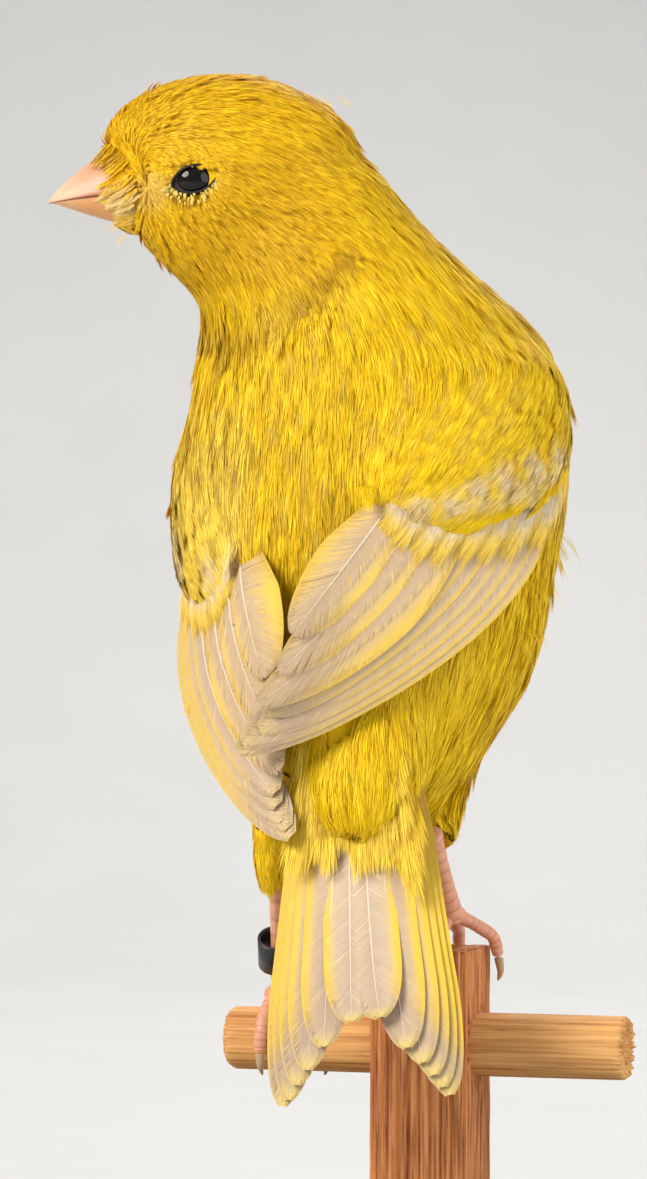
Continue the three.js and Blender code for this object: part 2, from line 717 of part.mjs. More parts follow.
// A square post with shallow flutes down its four faces
function postGeometry() {
  const half = POST_SIDE / 2;
  const step = POST_SIDE / POST_FLUTES;
  const shape = new THREE.Shape();
  for (let face = 0; face < 4; face += 1) {
    for (let k = 0; k < POST_FLUTES; k += 1) {
      for (const [along, inset] of [[0, 0], [0.2, 0], [0.5, FLUTE_DEPTH], [0.8, 0]]) {
        const point = new THREE.Vector2(-half + (k + along) * step, -half + inset);
        point.rotateAround(new THREE.Vector2(), (face * Math.PI) / 2);
        if (face + k + along === 0) {
          shape.moveTo(point.x, point.y);
        } else {
          shape.lineTo(point.x, point.y);
        }
      }
    }
  }
  const geometry = new THREE.ExtrudeGeometry(shape, { depth: POST_TOP - POST_BOTTOM, bevelEnabled: false });
  return geometry.translate(0, 0, PERCH_HEIGHT + POST_BOTTOM);
}

function addPerch() {
  const dowel = roundBar(DOWEL_RADIUS, DOWEL_LEFT, DOWEL_RIGHT, DOWEL_EASE);
  const bore = roundBar(DOWEL_RADIUS + GAP, -POST_SIDE, POST_SIDE, DOWEL_EASE);
  for (const bar of [dowel, bore]) {
    bar.rotateY(Math.PI / 2).translate(0, 0, PERCH_HEIGHT);
  }
  addNode('perch_dowel', solidOf(dowel), COLOURS.wood, 0.75);
  addNode('perch_post', solidOf(postGeometry()).subtract(solidOf(bore)), COLOURS.wood, 0.85);
}

function addStand() {
  const rodTop = PERCH_HEIGHT + POST_BOTTOM - GAP;
  addNode('stand_base', solidOf(roundBar(BASE_RADIUS, 0, BASE_HEIGHT, BASE_EASE)), COLOURS.stand, 0.5);
  addNode('stand_rod', solidOf(roundBar(ROD_RADIUS, BASE_HEIGHT + GAP, rodTop, 0.3)), COLOURS.stand, 0.5);
}

function addHeadAndBody() {
  const arms = [armShape(WINGS.right), armShape(WINGS.left)];
  const eyes = [eyeShape(-1), eyeShape(1)];
  const lids = [lidShape(-1), lidShape(1)];
  const bill = billShape();
  let flesh = fused([torsoShape(), neckShape(), headShape()].map((shape) => solidOf(shape)));
  for (const shape of [...arms, ...eyes, ...lids, bill]) {
    flesh = flesh.subtract(solidOf(shape, CUT));
  }
  flesh = flesh.subtract(solidOf(wingBed(WINGS.right))).subtract(solidOf(wingBed(WINGS.left)));
  for (const wing of [WINGS.right, WINGS.left]) {
    flesh = flesh.subtract(fused(flightVanes(wing, DEEP_CUT).map((shape) => solidOf(shape))));
  }
  flesh = flesh.subtract(tailSolid(CUT));
  const [head, rest] = parted(flesh, HEAD_CUT_U, HEAD_CUT_Z, HEAD_CUT_LEAN);
  const [neck, torso] = parted(rest, 0, NECK_CUT_Z, 0);
  addNode('head', head, COLOURS.plumage);
  addNode('neck', neck, COLOURS.plumage);
  addNode('torso', torso, COLOURS.plumage);
  for (const [i, side] of ['left', 'right'].entries()) {
    addNode(`eye_${side}`, solidOf(eyes[i]), COLOURS.eye, 0.1);
    addNode(`eyelid_${side}`, solidOf(lids[i]), COLOURS.lid);
  }
  const [upper, lower] = parted(solidOf(bill), GAPE_U, GAPE_Z, GAPE_LEAN);
  let pierced = upper;
  for (const side of [-1, 1]) {
    const hole = new THREE.SphereGeometry(NOSTRIL_RADIUS, 10, 8).scale(1, 1, 0.8);
    const at = seen(NOSTRIL[0], side * NOSTRIL[1], NOSTRIL[2]);
    pierced = pierced.subtract(solidOf(hole.translate(at.x, at.y, at.z)));
  }
  addNode('bill_upper', pierced, COLOURS.bill, 0.4);
  addNode('bill_lower', lower, COLOURS.bill, 0.4);
}

function addWings() {
  const body = solidOf(torsoShape(), CUT);
  for (const side of ['right', 'left']) {
    const wing = WINGS[side];
    const coverts = fused(covertVanes(wing, 0).map((shape) => solidOf(shape))).subtract(body);
    let solid = fused([armShape(wing), ...flightVanes(wing, 0)].map((shape) => solidOf(shape))).add(coverts);
    if (side === 'left') {
      solid = solid.subtract(fused(flightVanes(WINGS.right, CUT).map((shape) => solidOf(shape))));
    }
    addNode(`wing_${side}`, solid, COLOURS.feather);
  }
}

function addTail() {
  const body = solidOf(torsoShape(), GAP);
  let rump = solidOf(rumpShape()).subtract(body).subtract(tailSolid(CUT));
  for (const wing of [WINGS.right, WINGS.left]) {
    rump = rump.subtract(solidOf(wingBed(wing))).subtract(solidOf(armShape(wing), CUT));
  }
  addNode('rump', rump, COLOURS.plumage);
  addNode('tail', tailSolid(), COLOURS.feather);
}

function addLeg(side, toePaths, clawPaths) {
  const leg = LEGS[side];
  const { thigh, shank } = legShapes(leg);
  const body = solidOf(torsoShape(), GAP).add(solidOf(rumpShape(), GAP));
  const toes = toePaths.map((path) => toeShape(path));
  const grownFoot = fused([palmShape(leg.palm), ...toes].map((shape) => solidOf(shape, CUT)));
  addNode(`thigh_${side}`, solidOf(thigh).subtract(body).subtract(solidOf(shank, CUT)), COLOURS.plumage);
  addNode(`shank_${side}`, solidOf(shank).subtract(grownFoot), COLOURS.leg, 0.5);
  addNode(`foot_${side}`, fused([palmShape(leg.palm), ...toes].map((shape) => solidOf(shape))), COLOURS.leg, 0.5);
  for (const [i, path] of clawPaths.entries()) {
    addNode(`claw_${side}_${i + 1}`, solidOf(clawShape(path)), COLOURS.claw, 0.4);
  }
}

function addLegs() {
  const overPost = RIGHT_TOES.map((path) => path.map((point) => onPerch(...point)));
  const postClaws = RIGHT_CLAWS.map((path) => path.map((point) => onPerch(...point)));
  addLeg('right', overPost, postClaws);
  addLeg('left', LEFT_TOES.map(leftToePath), LEFT_TOES.map(leftClawPath));
  addNode('leg_ring', ringSolid(), COLOURS.ring, 0.3);
}

addStand();
addPerch();
addHeadAndBody();
addWings();
addTail();
addLegs();

export default group;
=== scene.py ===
"""Dresses the canary and its cut length of perch: skin, coat, wings, tail, head, feet, wood and stand."""
import logging
import math
from dataclasses import dataclass, field, replace
from enum import Enum
from functools import partial
from typing import Callable

import bmesh
import bpy
import numpy as np
from mathutils import Matrix, Vector
from mathutils.bvhtree import BVHTree
from mathutils.kdtree import KDTree


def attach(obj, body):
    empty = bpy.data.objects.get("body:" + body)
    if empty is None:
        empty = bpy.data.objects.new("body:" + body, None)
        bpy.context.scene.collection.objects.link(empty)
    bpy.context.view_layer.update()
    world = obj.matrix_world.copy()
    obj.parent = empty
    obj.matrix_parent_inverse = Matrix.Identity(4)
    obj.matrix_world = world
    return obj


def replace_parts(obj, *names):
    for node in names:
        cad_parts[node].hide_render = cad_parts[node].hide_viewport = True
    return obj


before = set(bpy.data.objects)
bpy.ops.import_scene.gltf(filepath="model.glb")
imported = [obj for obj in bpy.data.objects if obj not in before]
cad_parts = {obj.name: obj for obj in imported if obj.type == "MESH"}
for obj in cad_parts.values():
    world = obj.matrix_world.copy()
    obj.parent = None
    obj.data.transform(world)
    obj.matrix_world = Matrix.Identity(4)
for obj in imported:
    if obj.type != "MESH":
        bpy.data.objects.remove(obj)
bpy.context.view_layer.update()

LOG = logging.getLogger("canary")
MM = 0.001
BODY = "root"
SIGHT_TURN = math.radians(17.5)
BODY_TURN = math.radians(24)
BODY_PLACE = (-7.0, 3.0)
PERCH_HEIGHT = 32.0
Array = np.ndarray
Pair = tuple[float, float]
Spot = tuple[float, float, float]
Colour = tuple[float, float, float]
Line = tuple[Spot, ...]
Material = bpy.types.Material
Socket = bpy.types.NodeSocket
Piece = bpy.types.Object
Shape = bmesh.types.BMesh


class Tone(Enum):
    """Linear colours of the plumage, with one painted shade for the crease under the cheek."""

    YELLOW = (0.93, 0.62, 0.008)
    GOLD = (0.88, 0.50, 0.005)
    PALE = (0.93, 0.71, 0.13)
    CREAM = (0.63, 0.46, 0.30)
    WHITE = (0.80, 0.67, 0.48)
    MAUVE = (0.46, 0.32, 0.25)
    OCHRE = (0.58, 0.31, 0.005)
    # painted shade: the dark brown laid along the crease under the cheek
    BROWN = (0.40, 0.20, 0.02)
    STREAK = (0.46, 0.29, 0.06)


# Frames: the laid-out one (right, away, above the dowel), the body's own one, and the row's

def seen(points: Array) -> Array:
    """Turns laid-out millimetres into metres of the row.

    Args:
        points: right, away and above the dowel's axis in the last axis of the array.

    Returns:
        The same points in the row's frame.
    """
    p = np.asarray(points, float)
    u, d, z = p[..., 0], p[..., 1], p[..., 2]
    c, s = math.cos(SIGHT_TURN), math.sin(SIGHT_TURN)
    return np.stack([u * c - d * s, u * s + d * c, z + PERCH_HEIGHT], -1) * MM


def laid(points: Array) -> Array:
    """Turns metres of the row into laid-out millimetres, the inverse of seen.

    Args:
        points: places in metres of the row.

    Returns:
        Laid-out millimetres.
    """
    p = np.asarray(points, float) / MM
    x, y, z = p[..., 0], p[..., 1], p[..., 2]
    c, s = math.cos(SIGHT_TURN), math.sin(SIGHT_TURN)
    return np.stack([x * c + y * s, y * c - x * s, z - PERCH_HEIGHT], -1)


def on_body(points: Array) -> Array:
    """Turns millimetres to the bird's right, forward and up into laid-out millimetres.

    Args:
        points: the body's own millimetres.

    Returns:
        Laid-out millimetres.
    """
    p = np.asarray(points, float)
    c, s = math.cos(BODY_TURN), math.sin(BODY_TURN)
    u = BODY_PLACE[0] + p[..., 0] * c + p[..., 1] * s
    d = BODY_PLACE[1] - p[..., 0] * s + p[..., 1] * c
    return np.stack([u, d, p[..., 2]], -1)


def to_body(points: Array) -> Array:
    """Turns laid-out millimetres into the body's own right, forward and up, the inverse of on_body.

    Args:
        points: laid-out millimetres.

    Returns:
        The body's own millimetres.
    """
    p = np.asarray(points, float)
    c, s = math.cos(BODY_TURN), math.sin(BODY_TURN)
    u, d = p[..., 0] - BODY_PLACE[0], p[..., 1] - BODY_PLACE[1]
    return np.stack([u * c - d * s, u * s + d * c, p[..., 2]], -1)


def ramp(value: Array, low: float, high: float) -> Array:
    """Smooth step from 0 at low to 1 at high."""
    t = np.clip((np.asarray(value, float) - low) / (high - low), 0, 1)
    return t * t * (3 - 2 * t)


def unit(vectors: Array) -> Array:
    """Vectors of the last axis at length 1."""
    return vectors / np.maximum(np.linalg.norm(vectors, axis=-1, keepdims=True), 1e-12)


def squared(vectors: Array, axis: Array) -> Array:
    """The part of vectors that is square to a unit axis."""
    return vectors - axis * np.sum(vectors * axis, -1, keepdims=True)


def heading(ways: Array) -> Array:
    """Turns laid-out directions into directions of the row, a millimetre for each unit."""
    return seen(ways) - seen(np.zeros(3))


def tint(tone: Tone | Colour, like: Array) -> Array:
    """One colour for each entry of an array."""
    return np.broadcast_to(np.array(tone.value if isinstance(tone, Tone) else tone), (*like.shape, 3))


def blend(a: Array, b: Array | Tone | Colour, share: Array) -> Array:
    """Mixes two colours or points by a share given for each row.

    Args:
        a: the first one.
        b: the second one.
        share: how much of the second.

    Returns:
        The mixture.
    """
    share = np.asarray(share, float)[..., None]
    goal = np.asarray(b.value if isinstance(b, Tone) else b, float)
    return np.asarray(a, float) * (1 - share) + goal * share


def spread(points: list[tuple[float, ...]], at: Array) -> Array:
    """Reads a table of stations with a smooth curve through them.

    Args:
        points: rows of numbers, evenly spaced along the curve.
        at: shares of the curve's length from 0 to 1.

    Returns:
        One row of numbers for each share.
    """
    rows = np.asarray(points, float)
    last = len(rows) - 1
    at = np.clip(np.asarray(at, float), 0, 1) * last
    i = np.minimum(at.astype(int), last - 1)
    t = (at - i)[..., None]
    p0, p1 = rows[np.maximum(i - 1, 0)], rows[i]
    p2, p3 = rows[i + 1], rows[np.minimum(i + 2, last)]
    return 0.5 * (2 * p1 + (p2 - p0) * t + (2 * p0 - 5 * p1 + 4 * p2 - p3) * t**2
                  + (3 * p1 - p0 - 3 * p2 + p3) * t**3)


# Markings, shared by the skin and every feather

EYE = (-29.4, 107.8)
CREASE = ((-27.9, 89.0), (-23.7, 87.2), (-20.6, 88.4), (-16.3, 92.1), (-12.6, 95.2), (-9.5, 98.6))
CHEEK = (-21.5, 100.5)
LORE = (-34.6, 106.4)

COVERT_TOP = ((-12.9, 66.8), (-7.5, 67.1), (0.5, 68.4), (8.2, 72.9), (15.7, 74.9))
COVERT_FOOT = ((-12.9, 65.4), (1.0, 62.6), (4.4, 64.6), (11.3, 65.0), (15.5, 69.2))
SPOTS = (((-23.9, 58.6), 1.3, 3.2, 0.8), ((-26.9, 59.0), 1.2, 3.0, 0.65), ((-31.2, 60.0), 1.3, 6.0, 0.7))


def crease_gap(points: Array) -> Array:
    """Height of laid-out points over the crease under the cheek, far off where it has none.

    Args:
        points: laid-out millimetres.

    Returns:
        Millimetres over the crease.
    """
    line = np.array(CREASE)
    u, z = points[..., 0], points[..., 2]
    level = np.interp(u, line[:, 0], line[:, 1])
    beyond = np.maximum(line[0, 0] - u, 0) + np.maximum(u - line[-1, 0], 0)
    return z - level + 3.0 * beyond * np.where(z > level, 1, -1)


@dataclass(frozen=True)
class Markings:
    """Colour of the plumage as a function of place on the bird."""

    def base(self, points: Array) -> Array:
        """Colour at laid-out points.

        Args:
            points: laid-out millimetres.

        Returns:
            Linear red, green and blue for each point.
        """
        u, z = points[..., 0], points[..., 2]
        own = to_body(points)
        colour = tint(Tone.YELLOW, u)
        head = ramp(z, 90, 98) * ramp(-u, 2, 12)
        colour = blend(colour, Tone.GOLD, 0.55 * head)
        cheek = head * ramp(-np.hypot((u - CHEEK[0]) / 1.15, z - CHEEK[1]), -11, -5)
        colour = blend(colour, Tone.OCHRE, 0.42 * cheek)
        behind = head * ramp(-np.abs(z - EYE[1] - 0.3 * (u - EYE[0] - 3)), -1.6, -0.2) * ramp(u, -26, -24)
        colour = blend(colour, Tone.OCHRE, 0.35 * behind * ramp(-u, 8, 16))
        lore = head * ramp(-np.hypot(u - LORE[0], z - LORE[1]), -3.4, -1.2)
        colour = blend(colour, (0.80, 0.58, 0.20), 0.45 * lore)
        chin = head * ramp(-u, 33, 37) * ramp(-z, -103, -99)
        colour = blend(colour, Tone.PALE, 0.55 * chin)
        gap = crease_gap(points)
        # painted shade: dark brown along the crease, where the cheek's feathers overhang the neck
        colour = blend(colour, Tone.BROWN, 0.6 * ramp(-np.abs(gap + 0.9), -3.0, -0.2))
        belly = ramp(own[..., 1], 2, 14) * ramp(-z, -62, -36)
        colour = blend(colour, Tone.PALE, 0.35 * belly)
        # paler breast: partly the plumage's paler colour, partly painted sheen where the light falls on the
        # chest
        breast = ramp(own[..., 1], -4, 8) * ramp(z, 56, 66) * (1 - head)
        colour = blend(colour, Tone.PALE, 0.6 * breast)
        top = np.interp(u, *np.array(COVERT_TOP).T)
        foot = np.interp(u, *np.array(COVERT_FOOT).T)
        mottle = 0.5 + 0.5 * np.sin(1.5 * (u + 0.55 * z)) * np.sin(0.5 * z - 0.3 * u)
        right = ramp(own[..., 0], 8, 12) * ramp(-own[..., 1], -3, 2)
        pale = right * ramp(top - z, -0.6, 1.2) * ramp(z - foot, 1.6, 3.2) * ramp(mottle, 0.1, 0.8)
        colour = blend(colour, Tone.WHITE, 0.8 * pale)
        left = ramp(-own[..., 0], 6, 9)
        colour = blend(colour, Tone.PALE, 0.6 * left * ramp(z, 50, 60) * ramp(-z, -84, -70))
        for place, wide, tall, strength in SPOTS:
            away = np.hypot((u - place[0]) / wide, (z - place[1]) / tall)
            colour = blend(colour, Tone.WHITE, strength * left * ramp(-away, -1.0, -0.4))
        return colour

    def streak(self, points: Array) -> Array:
        """Strength of the dusky shaft streaks at laid-out points.

        Args:
            points: laid-out millimetres.

        Returns:
            0 to 1 for each point.
        """
        own = to_body(points)
        back = ramp(-own[..., 1], 0, 8)
        mantle = back * ramp(points[..., 2], 52, 62) * ramp(-points[..., 2], -97, -90)
        flank = ramp(own[..., 0], 8, 16) * ramp(-points[..., 2], -56, -44) * 0.3
        crown = 0.3 * ramp(points[..., 2], 113, 120)
        u, z = points[..., 0], points[..., 2]
        spots = np.sin(2.0 * u + 1.4 * np.sin(0.33 * z)) * np.sin(0.9 * z + 1.7 * np.sin(0.5 * u))
        return np.clip(mantle + flank + crown, 0, 1) * ramp(spots, 0.05, 0.7)


MARKINGS = Markings()


# Feathers: barbs laid over frames along a shaft

@dataclass
class Shafts:
    """Frames along a batch of feather shafts: place, ahead, across and out, each feathers x stations x 3."""

    place: Array
    ahead: Array
    across: Array
    out: Array

    @classmethod
    def along(cls, place: Array, out: Array) -> "Shafts":
        """Frames along lines of points, their faces turned towards out.

        Args:
            place: points, in metres.
            out: the way the faces turn.

        Returns:
            The frames.
        """
        ahead = unit(np.gradient(place, axis=1))
        out = unit(squared(out, ahead))
        return cls(place, ahead, np.cross(ahead, out), out)

    def parts(self) -> tuple[Array, Array, Array, Array]:
        """The four arrays."""
        return self.place, self.ahead, self.across, self.out

    def pick(self, rows: Array) -> "Shafts":
        """The frames of some of the feathers."""
        return Shafts(*(part[rows] for part in self.parts()))

    def at(self, share: Array) -> tuple[Array, Array, Array, Array]:
        """Frames at shares of the length, which may pass the tip.

        Args:
            share: feathers x n shares.

        Returns:
            Place, ahead, across and out at each share.
        """
        last = self.place.shape[1] - 1
        x = share * last
        i = np.clip(np.floor(x).astype(int), 0, last - 1)
        t = (x - i)[..., None]
        rows = np.arange(len(share))[:, None]

        def mixed(values: Array) -> Array:
            """Values between two stations."""
            return values[rows, i] * (1 - t) + values[rows, i + 1] * t

        return mixed(self.place), unit(mixed(self.ahead)), unit(mixed(self.across)), unit(mixed(self.out))


@dataclass(frozen=True)
class Weave:
    """How a feather's strands and web lie, lengths as shares of the feather's own, widths in millimetres."""

    strands: int = 60
    sweep: float = 0.42
    tip_round: float = 0.5
    loose: float = 0.4
    blade: float = 0.15
    roll: float = 0.45
    rise: float = 0.2
    droop: float = 0.02
    web_grid: tuple[int, int] = (5, 3)
    web_share: Pair = (0.55, 0.75)
    camber: float = 0.0
    relief: float = 0.6
    streaky: float = 0.1
    contrast: float = 0.09
    # deep and bright: shares of strands darkened as painted shade between strands, and lightened as painted
    # highlights
    deep: float = 0.14
    bright: float = 0.12
    mat: bool = False
    foot: float = 0.4
    foot_span: float = 0.3

    @property
    def triangles(self) -> int:
        """Triangles of one feather."""
        return 6 * (self.strands // 2) + 2 * (self.web_grid[0] - 1) * (self.web_grid[1] - 1)


def added(name: str, data: bpy.types.ID) -> Piece:
    """Puts an object into the scene.

    Args:
        name: the piece's name.
        data: its mesh, camera or lamp.

    Returns:
        The new object.
    """
    obj = bpy.data.objects.new(name, data)
    bpy.context.scene.collection.objects.link(obj)
    return obj


def dressed(name: str, mesh: bpy.types.Mesh, material: Material) -> Piece:
    """Makes a piece of the model from its mesh.

    Args:
        name: the piece's name.
        mesh: its mesh.
        material: its finish.

    Returns:
        The new object.
    """
    obj = added(name, mesh)
    mesh.materials.append(material)
    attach(obj, BODY)
    LOG.info("%s: %d faces", name, len(mesh.polygons))
    return obj


def painted(obj: Piece, colours: Array | Colour) -> None:
    """Paints a piece with one colour, or with one for each vertex.

    Args:
        obj: the piece.
        colours: one colour, or one for each vertex.
    """
    rgba = np.ones((len(obj.data.vertices), 4), np.float32)
    rgba[:, :3] = np.clip(colours, 0, 1)
    paint = obj.data.color_attributes.new("Marking", "FLOAT_COLOR", "POINT")
    paint.data.foreach_set("color", rgba.ravel())


@dataclass
class Patch:
    """Arrays of one mesh in the making."""

    verts: list[Array] = field(default_factory=list)
    quads: list[Array] = field(default_factory=list)
    tris: list[Array] = field(default_factory=list)
    colours: list[Array] = field(default_factory=list)
    places: list[Array] = field(default_factory=list)
    normals: list[Array] = field(default_factory=list)
    count: int = 0

    def add(self, verts: Array, quads: Array, tris: Array, colours: Array, places: Array,
            normals: Array) -> None:
        """Adds vertices, faces that count from them, colours, bake places and soft normals.

        Args:
            verts: points.
            quads: four-sided faces.
            tris: three-sided faces.
            colours: one colour, or one for each vertex.
            places: bake places.
            normals: soft normals.
        """
        self.normals.append(normals.reshape(-1, 3))
        self.verts.append(verts.reshape(-1, 3))
        self.quads.append(quads.reshape(-1, 4) + self.count)
        self.tris.append(tris.reshape(-1, 3) + self.count)
        self.colours.append(colours.reshape(-1, 3))
        self.places.append(places.reshape(-1, 2))
        self.count += len(self.verts[-1])

    def piece(self, name: str, material: Material, slot: str) -> Piece:
        """Makes the object and hangs it on the body's empty.

        Args:
            name: the piece's name.
            material: its finish.
            slot: the record's material slot, not used.

        Returns:
            The new object.
        """
        verts, quads, tris = (np.concatenate(part) for part in (self.verts, self.quads, self.tris))
        mesh = bpy.data.meshes.new(name)
        mesh.vertices.add(len(verts))
        mesh.vertices.foreach_set("co", verts.astype(np.float32).ravel())
        loops = np.concatenate([quads.ravel(), tris.ravel()]).astype(np.int32)
        mesh.loops.add(len(loops))
        mesh.loops.foreach_set("vertex_index", loops)
        starts = np.concatenate([np.arange(len(quads)) * 4, len(quads) * 4 + np.arange(len(tris)) * 3])
        mesh.polygons.add(len(starts))
        mesh.polygons.foreach_set("loop_start", starts.astype(np.int32))
        mesh.polygons.foreach_set("use_smooth", np.ones(len(starts), bool))
        mesh.update(calc_edges=True)
        soft = mesh.attributes.new("custom_normal", "FLOAT_VECTOR", "POINT")
        soft.data.foreach_set("vector", unit(np.concatenate(self.normals)).astype(np.float32).ravel())
        bake = mesh.uv_layers.new(name="OFBake")
        bake.data.foreach_set("uv", np.concatenate(self.places)[loops].astype(np.float32).ravel())
        obj = dressed(name, mesh, material)
        painted(obj, np.concatenate(self.colours))
        return obj


NO_FACES = np.zeros((0, 3), int)


def grid_quads(rows: int, columns: int) -> Array:
    """Faces of a grid of vertices, row by row.

    Args:
        rows: vertices down.
        columns: vertices across.

    Returns:
        Four corners for each face.
    """
    r, c = np.meshgrid(np.arange(rows - 1), np.arange(columns - 1), indexing="ij")
    a = (r * columns + c).ravel()
    return np.stack([a, a + 1, a + columns + 1, a + columns], -1)


Painter = Callable[[Array, Array], Array]


@dataclass
class Plumes:
    """A batch of feathers that share one weave: their shafts, sizes, colours and bake places."""

    shafts: Shafts
    length: Array
    width_out: Array
    width_in: Array
    height: Array
    paint: Painter
    places: Array
    weave: Weave
    rng: np.random.Generator

    def outline(self, share: Array) -> Array:
        """Width of the web at a share of the length, as a share of the full width.

        Args:
            share: shares of the length, 0 at the root.

        Returns:
            The width there, 0 to 1.
        """
        s = np.clip(share, 0, 1)
        foot = np.clip(s / self.weave.foot_span, 0, 1) ** 0.6 * (1 - self.weave.foot) + self.weave.foot
        past = np.clip((s - 1 + self.weave.tip_round) / self.weave.tip_round, 0, 1)
        return foot * np.sqrt(np.clip(1 - past**2, 0, 1))

    def surface(self, share: Array, side: Array, lift: Array) -> Array:
        """Points of the feathers' surfaces.

        Args:
            share: feathers x n shares of the length.
            side: feathers x n places across, in shares of the web's full width, the outer web below 0.
            lift: feathers x n heights above the surface in metres.

        Returns:
            feathers x n x 3 points.
        """
        place, _, across, out = self.shafts.at(share)
        width = np.where(side < 0, self.width_out[:, None], self.width_in[:, None])
        s = np.clip(share, 0, 1.15)
        first, last = self.height[:, :1], self.height[:, 1:]
        rise = first + (last - first) * s**0.8 + lift - self.weave.droop * np.abs(side) ** 2 * width * 10
        return place + across * (side * width)[..., None] + out * rise[..., None]

    def places_at(self, share: Array, side: Array) -> Array:
        """Bake places: a small patch at each root's own place."""
        local = np.stack([side * 0.5, share - 0.5], -1)
        return self.places[:, None, :] + 0.0028 * np.clip(local, -0.5, 0.5)

    def arch(self, side: Array) -> Array:
        """Height of the arched web in millimetres, its inner web flat."""
        return self.weave.camber * np.where(side < 0, 1 - side**2, 1 - np.abs(side))

    def facing(self) -> Array:
        """Whether across, ahead and out turn the right way round, for each feather."""
        frames = self.shafts
        return np.sum(np.cross(frames.across[:, 0], frames.ahead[:, 0]) * frames.out[:, 0], -1) > 0

    def webs(self, patch: Patch) -> None:
        """Adds the smooth web under the strands, arched across.

        Args:
            patch: the mesh in the making.
        """
        w, n = self.weave, len(self.length)
        wide, end = w.web_share
        s, x = np.meshgrid(np.linspace(0, 1, w.web_grid[0]), np.linspace(-1, 1, w.web_grid[1]), indexing="ij")
        share = np.broadcast_to((s * end).ravel(), (n, s.size))
        side = np.broadcast_to((x * self.outline(s * 0.995) * wide).ravel(), (n, s.size))
        arch = np.broadcast_to((self.arch(x) * MM).ravel(), (n, s.size))
        verts = self.surface(share, side, arch)
        quads = grid_quads(*w.web_grid)[None] + np.arange(n)[:, None, None] * s.size
        turned = ~self.facing()
        quads[turned] = quads[turned][..., ::-1]
        _, _, across, out = self.shafts.at(share)
        soft = out + across * (side * w.camber * 0.35)[..., None]
        patch.add(verts, quads, NO_FACES, self.paint(share, side), self.places_at(share, side), soft)

    def strands(self, patch: Patch) -> None:
        """Adds the strands, one tapering blade each, fanned from the shaft.

        Args:
            patch: the mesh in the making.
        """
        w, n = self.weave, len(self.length)
        half = w.strands // 2
        both = (n, 2 * half)
        step = (np.arange(half) + 0.5) / half
        start = np.concatenate([step, step])[None] * 0.96 + 0.02
        start = np.clip(start + self.rng.normal(0, 0.4 / half, both), 0, 0.99)
        hand = np.repeat([-1.0, 1.0], half)[None]
        loose = 1 + w.loose * self.rng.uniform(-0.6, 1, both)
        end = start + w.sweep * loose * (1 - 0.3 * start)
        round_tip = np.clip((end - 1 + w.tip_round) / (w.tip_round + 0.7 * w.sweep), 0, 1) * math.pi / 2
        end = np.where(round_tip > 0, 1 - w.tip_round + w.tip_round * np.sin(round_tip), end)
        tip_side = hand * self.outline(np.minimum(end, 0.9995)) * (1 - 0.24 * w.loose * self.rng.random(both))
        end = end + 0.12 * w.loose * (loose - 1)
        root_side, root_rise = hand * 0.02, 0.3
        if w.mat:
            end = self.rng.uniform(0.6, 1.05, both)
            start = np.maximum(end - w.sweep * self.rng.uniform(0.7, 1.2, both), 0.02)
            tip_side = hand * self.rng.random(both) * self.outline(np.minimum(end, 0.93))
            root_side, root_rise = 0.6 * tip_side, 0.45
            tip_side = tip_side + self.rng.normal(0, 0.22 * w.loose, both)
        lift = self.rng.uniform(0, 1, both) ** 2 * w.rise * MM
        blade = w.blade * MM * self.rng.uniform(0.7, 1.3, both)
        roll = self.rng.normal(0, w.roll, both)
        _, ahead, across, out = self.shafts.at(start)
        lean = unit((0.0 if w.mat else 0.6) * ahead - across * hand[..., None] * 0.8)
        edge = (lean * np.cos(roll)[..., None] + out * np.sin(roll)[..., None]) * blade[..., None] / 2
        rows, shares, sides = [], [], []
        for t, thick in ((0.0, 0.3 if w.mat else 0.7), (0.5, 1.0), (1.0, 0.0)):
            share = start + (end - start) * t
            side = root_side + (tip_side - root_side) * t**1.2
            arch = self.arch(side) * MM
            middle = self.surface(share, side, arch + lift * (root_rise + (1 - root_rise) * t) + 0.02 * MM)
            for sign in (0,) if thick == 0 else (-1, 1):
                rows.append(middle + edge * (sign * thick))
                shares.append(share)
                sides.append(side)
        verts = np.stack(rows, 2)
        share, side = np.stack(shares, 2), np.stack(sides, 2)
        flat = (n, -1)
        shift = self.rng.normal(0, w.streaky, (*both, 1))
        colours = self.paint(share.reshape(flat), np.clip(side + shift, -1.2, 1.2).reshape(flat))
        colours = colours.reshape(*both, 5, 3) * self.rng.normal(1, w.contrast, (*both, 1, 1))
        # painted shade and highlight: some strands darkened like the shadow in a gap, some lightened like a
        # glint
        chance = self.rng.random(both)[..., None, None]
        colours = np.where(chance < w.deep, colours * np.array([0.72, 0.60, 0.42]), colours)
        colours = np.where(chance > 1 - w.bright, colours * 1.08 + np.array([0.05, 0.05, 0.02]), colours)
        _, _, across, out = self.shafts.at(share.reshape(flat))
        own = np.cross(edge, verts[:, :, 4] - verts[:, :, 0])
        own = unit(own * np.sign(np.sum(own * out[:, ::5], -1, keepdims=True)))
        tilt = across * (side.reshape(flat) * w.camber * 0.35)[..., None]
        soft = (out + tilt).reshape(*both, 5, 3) + own[:, :, None] * w.relief
        first = (np.arange(n * 2 * half) * 5)[:, None]
        quads, tris = first + np.array([[0, 1, 3, 2]]), first + np.array([[2, 3, 4]])
        flip = (np.tile(hand.ravel() > 0, n)) == np.repeat(self.facing(), 2 * half)
        quads[flip], tris[flip] = quads[flip][:, ::-1], tris[flip][:, ::-1]
        places = self.places_at(share.reshape(flat), side.reshape(flat))
        patch.add(verts, quads, tris, colours, places, soft)

    def lay(self, patch: Patch) -> None:
        """Adds the webs and the strands."""
        self.webs(patch)
        self.strands(patch)

    def piece(self, name: str, finish: Material) -> None:
        """Makes a piece of the plumage of this batch alone.

        Args:
            name: the piece's name.
            finish: the material.
        """
        patch = Patch()
        self.lay(patch)
        patch.piece(name, finish, "plumage")

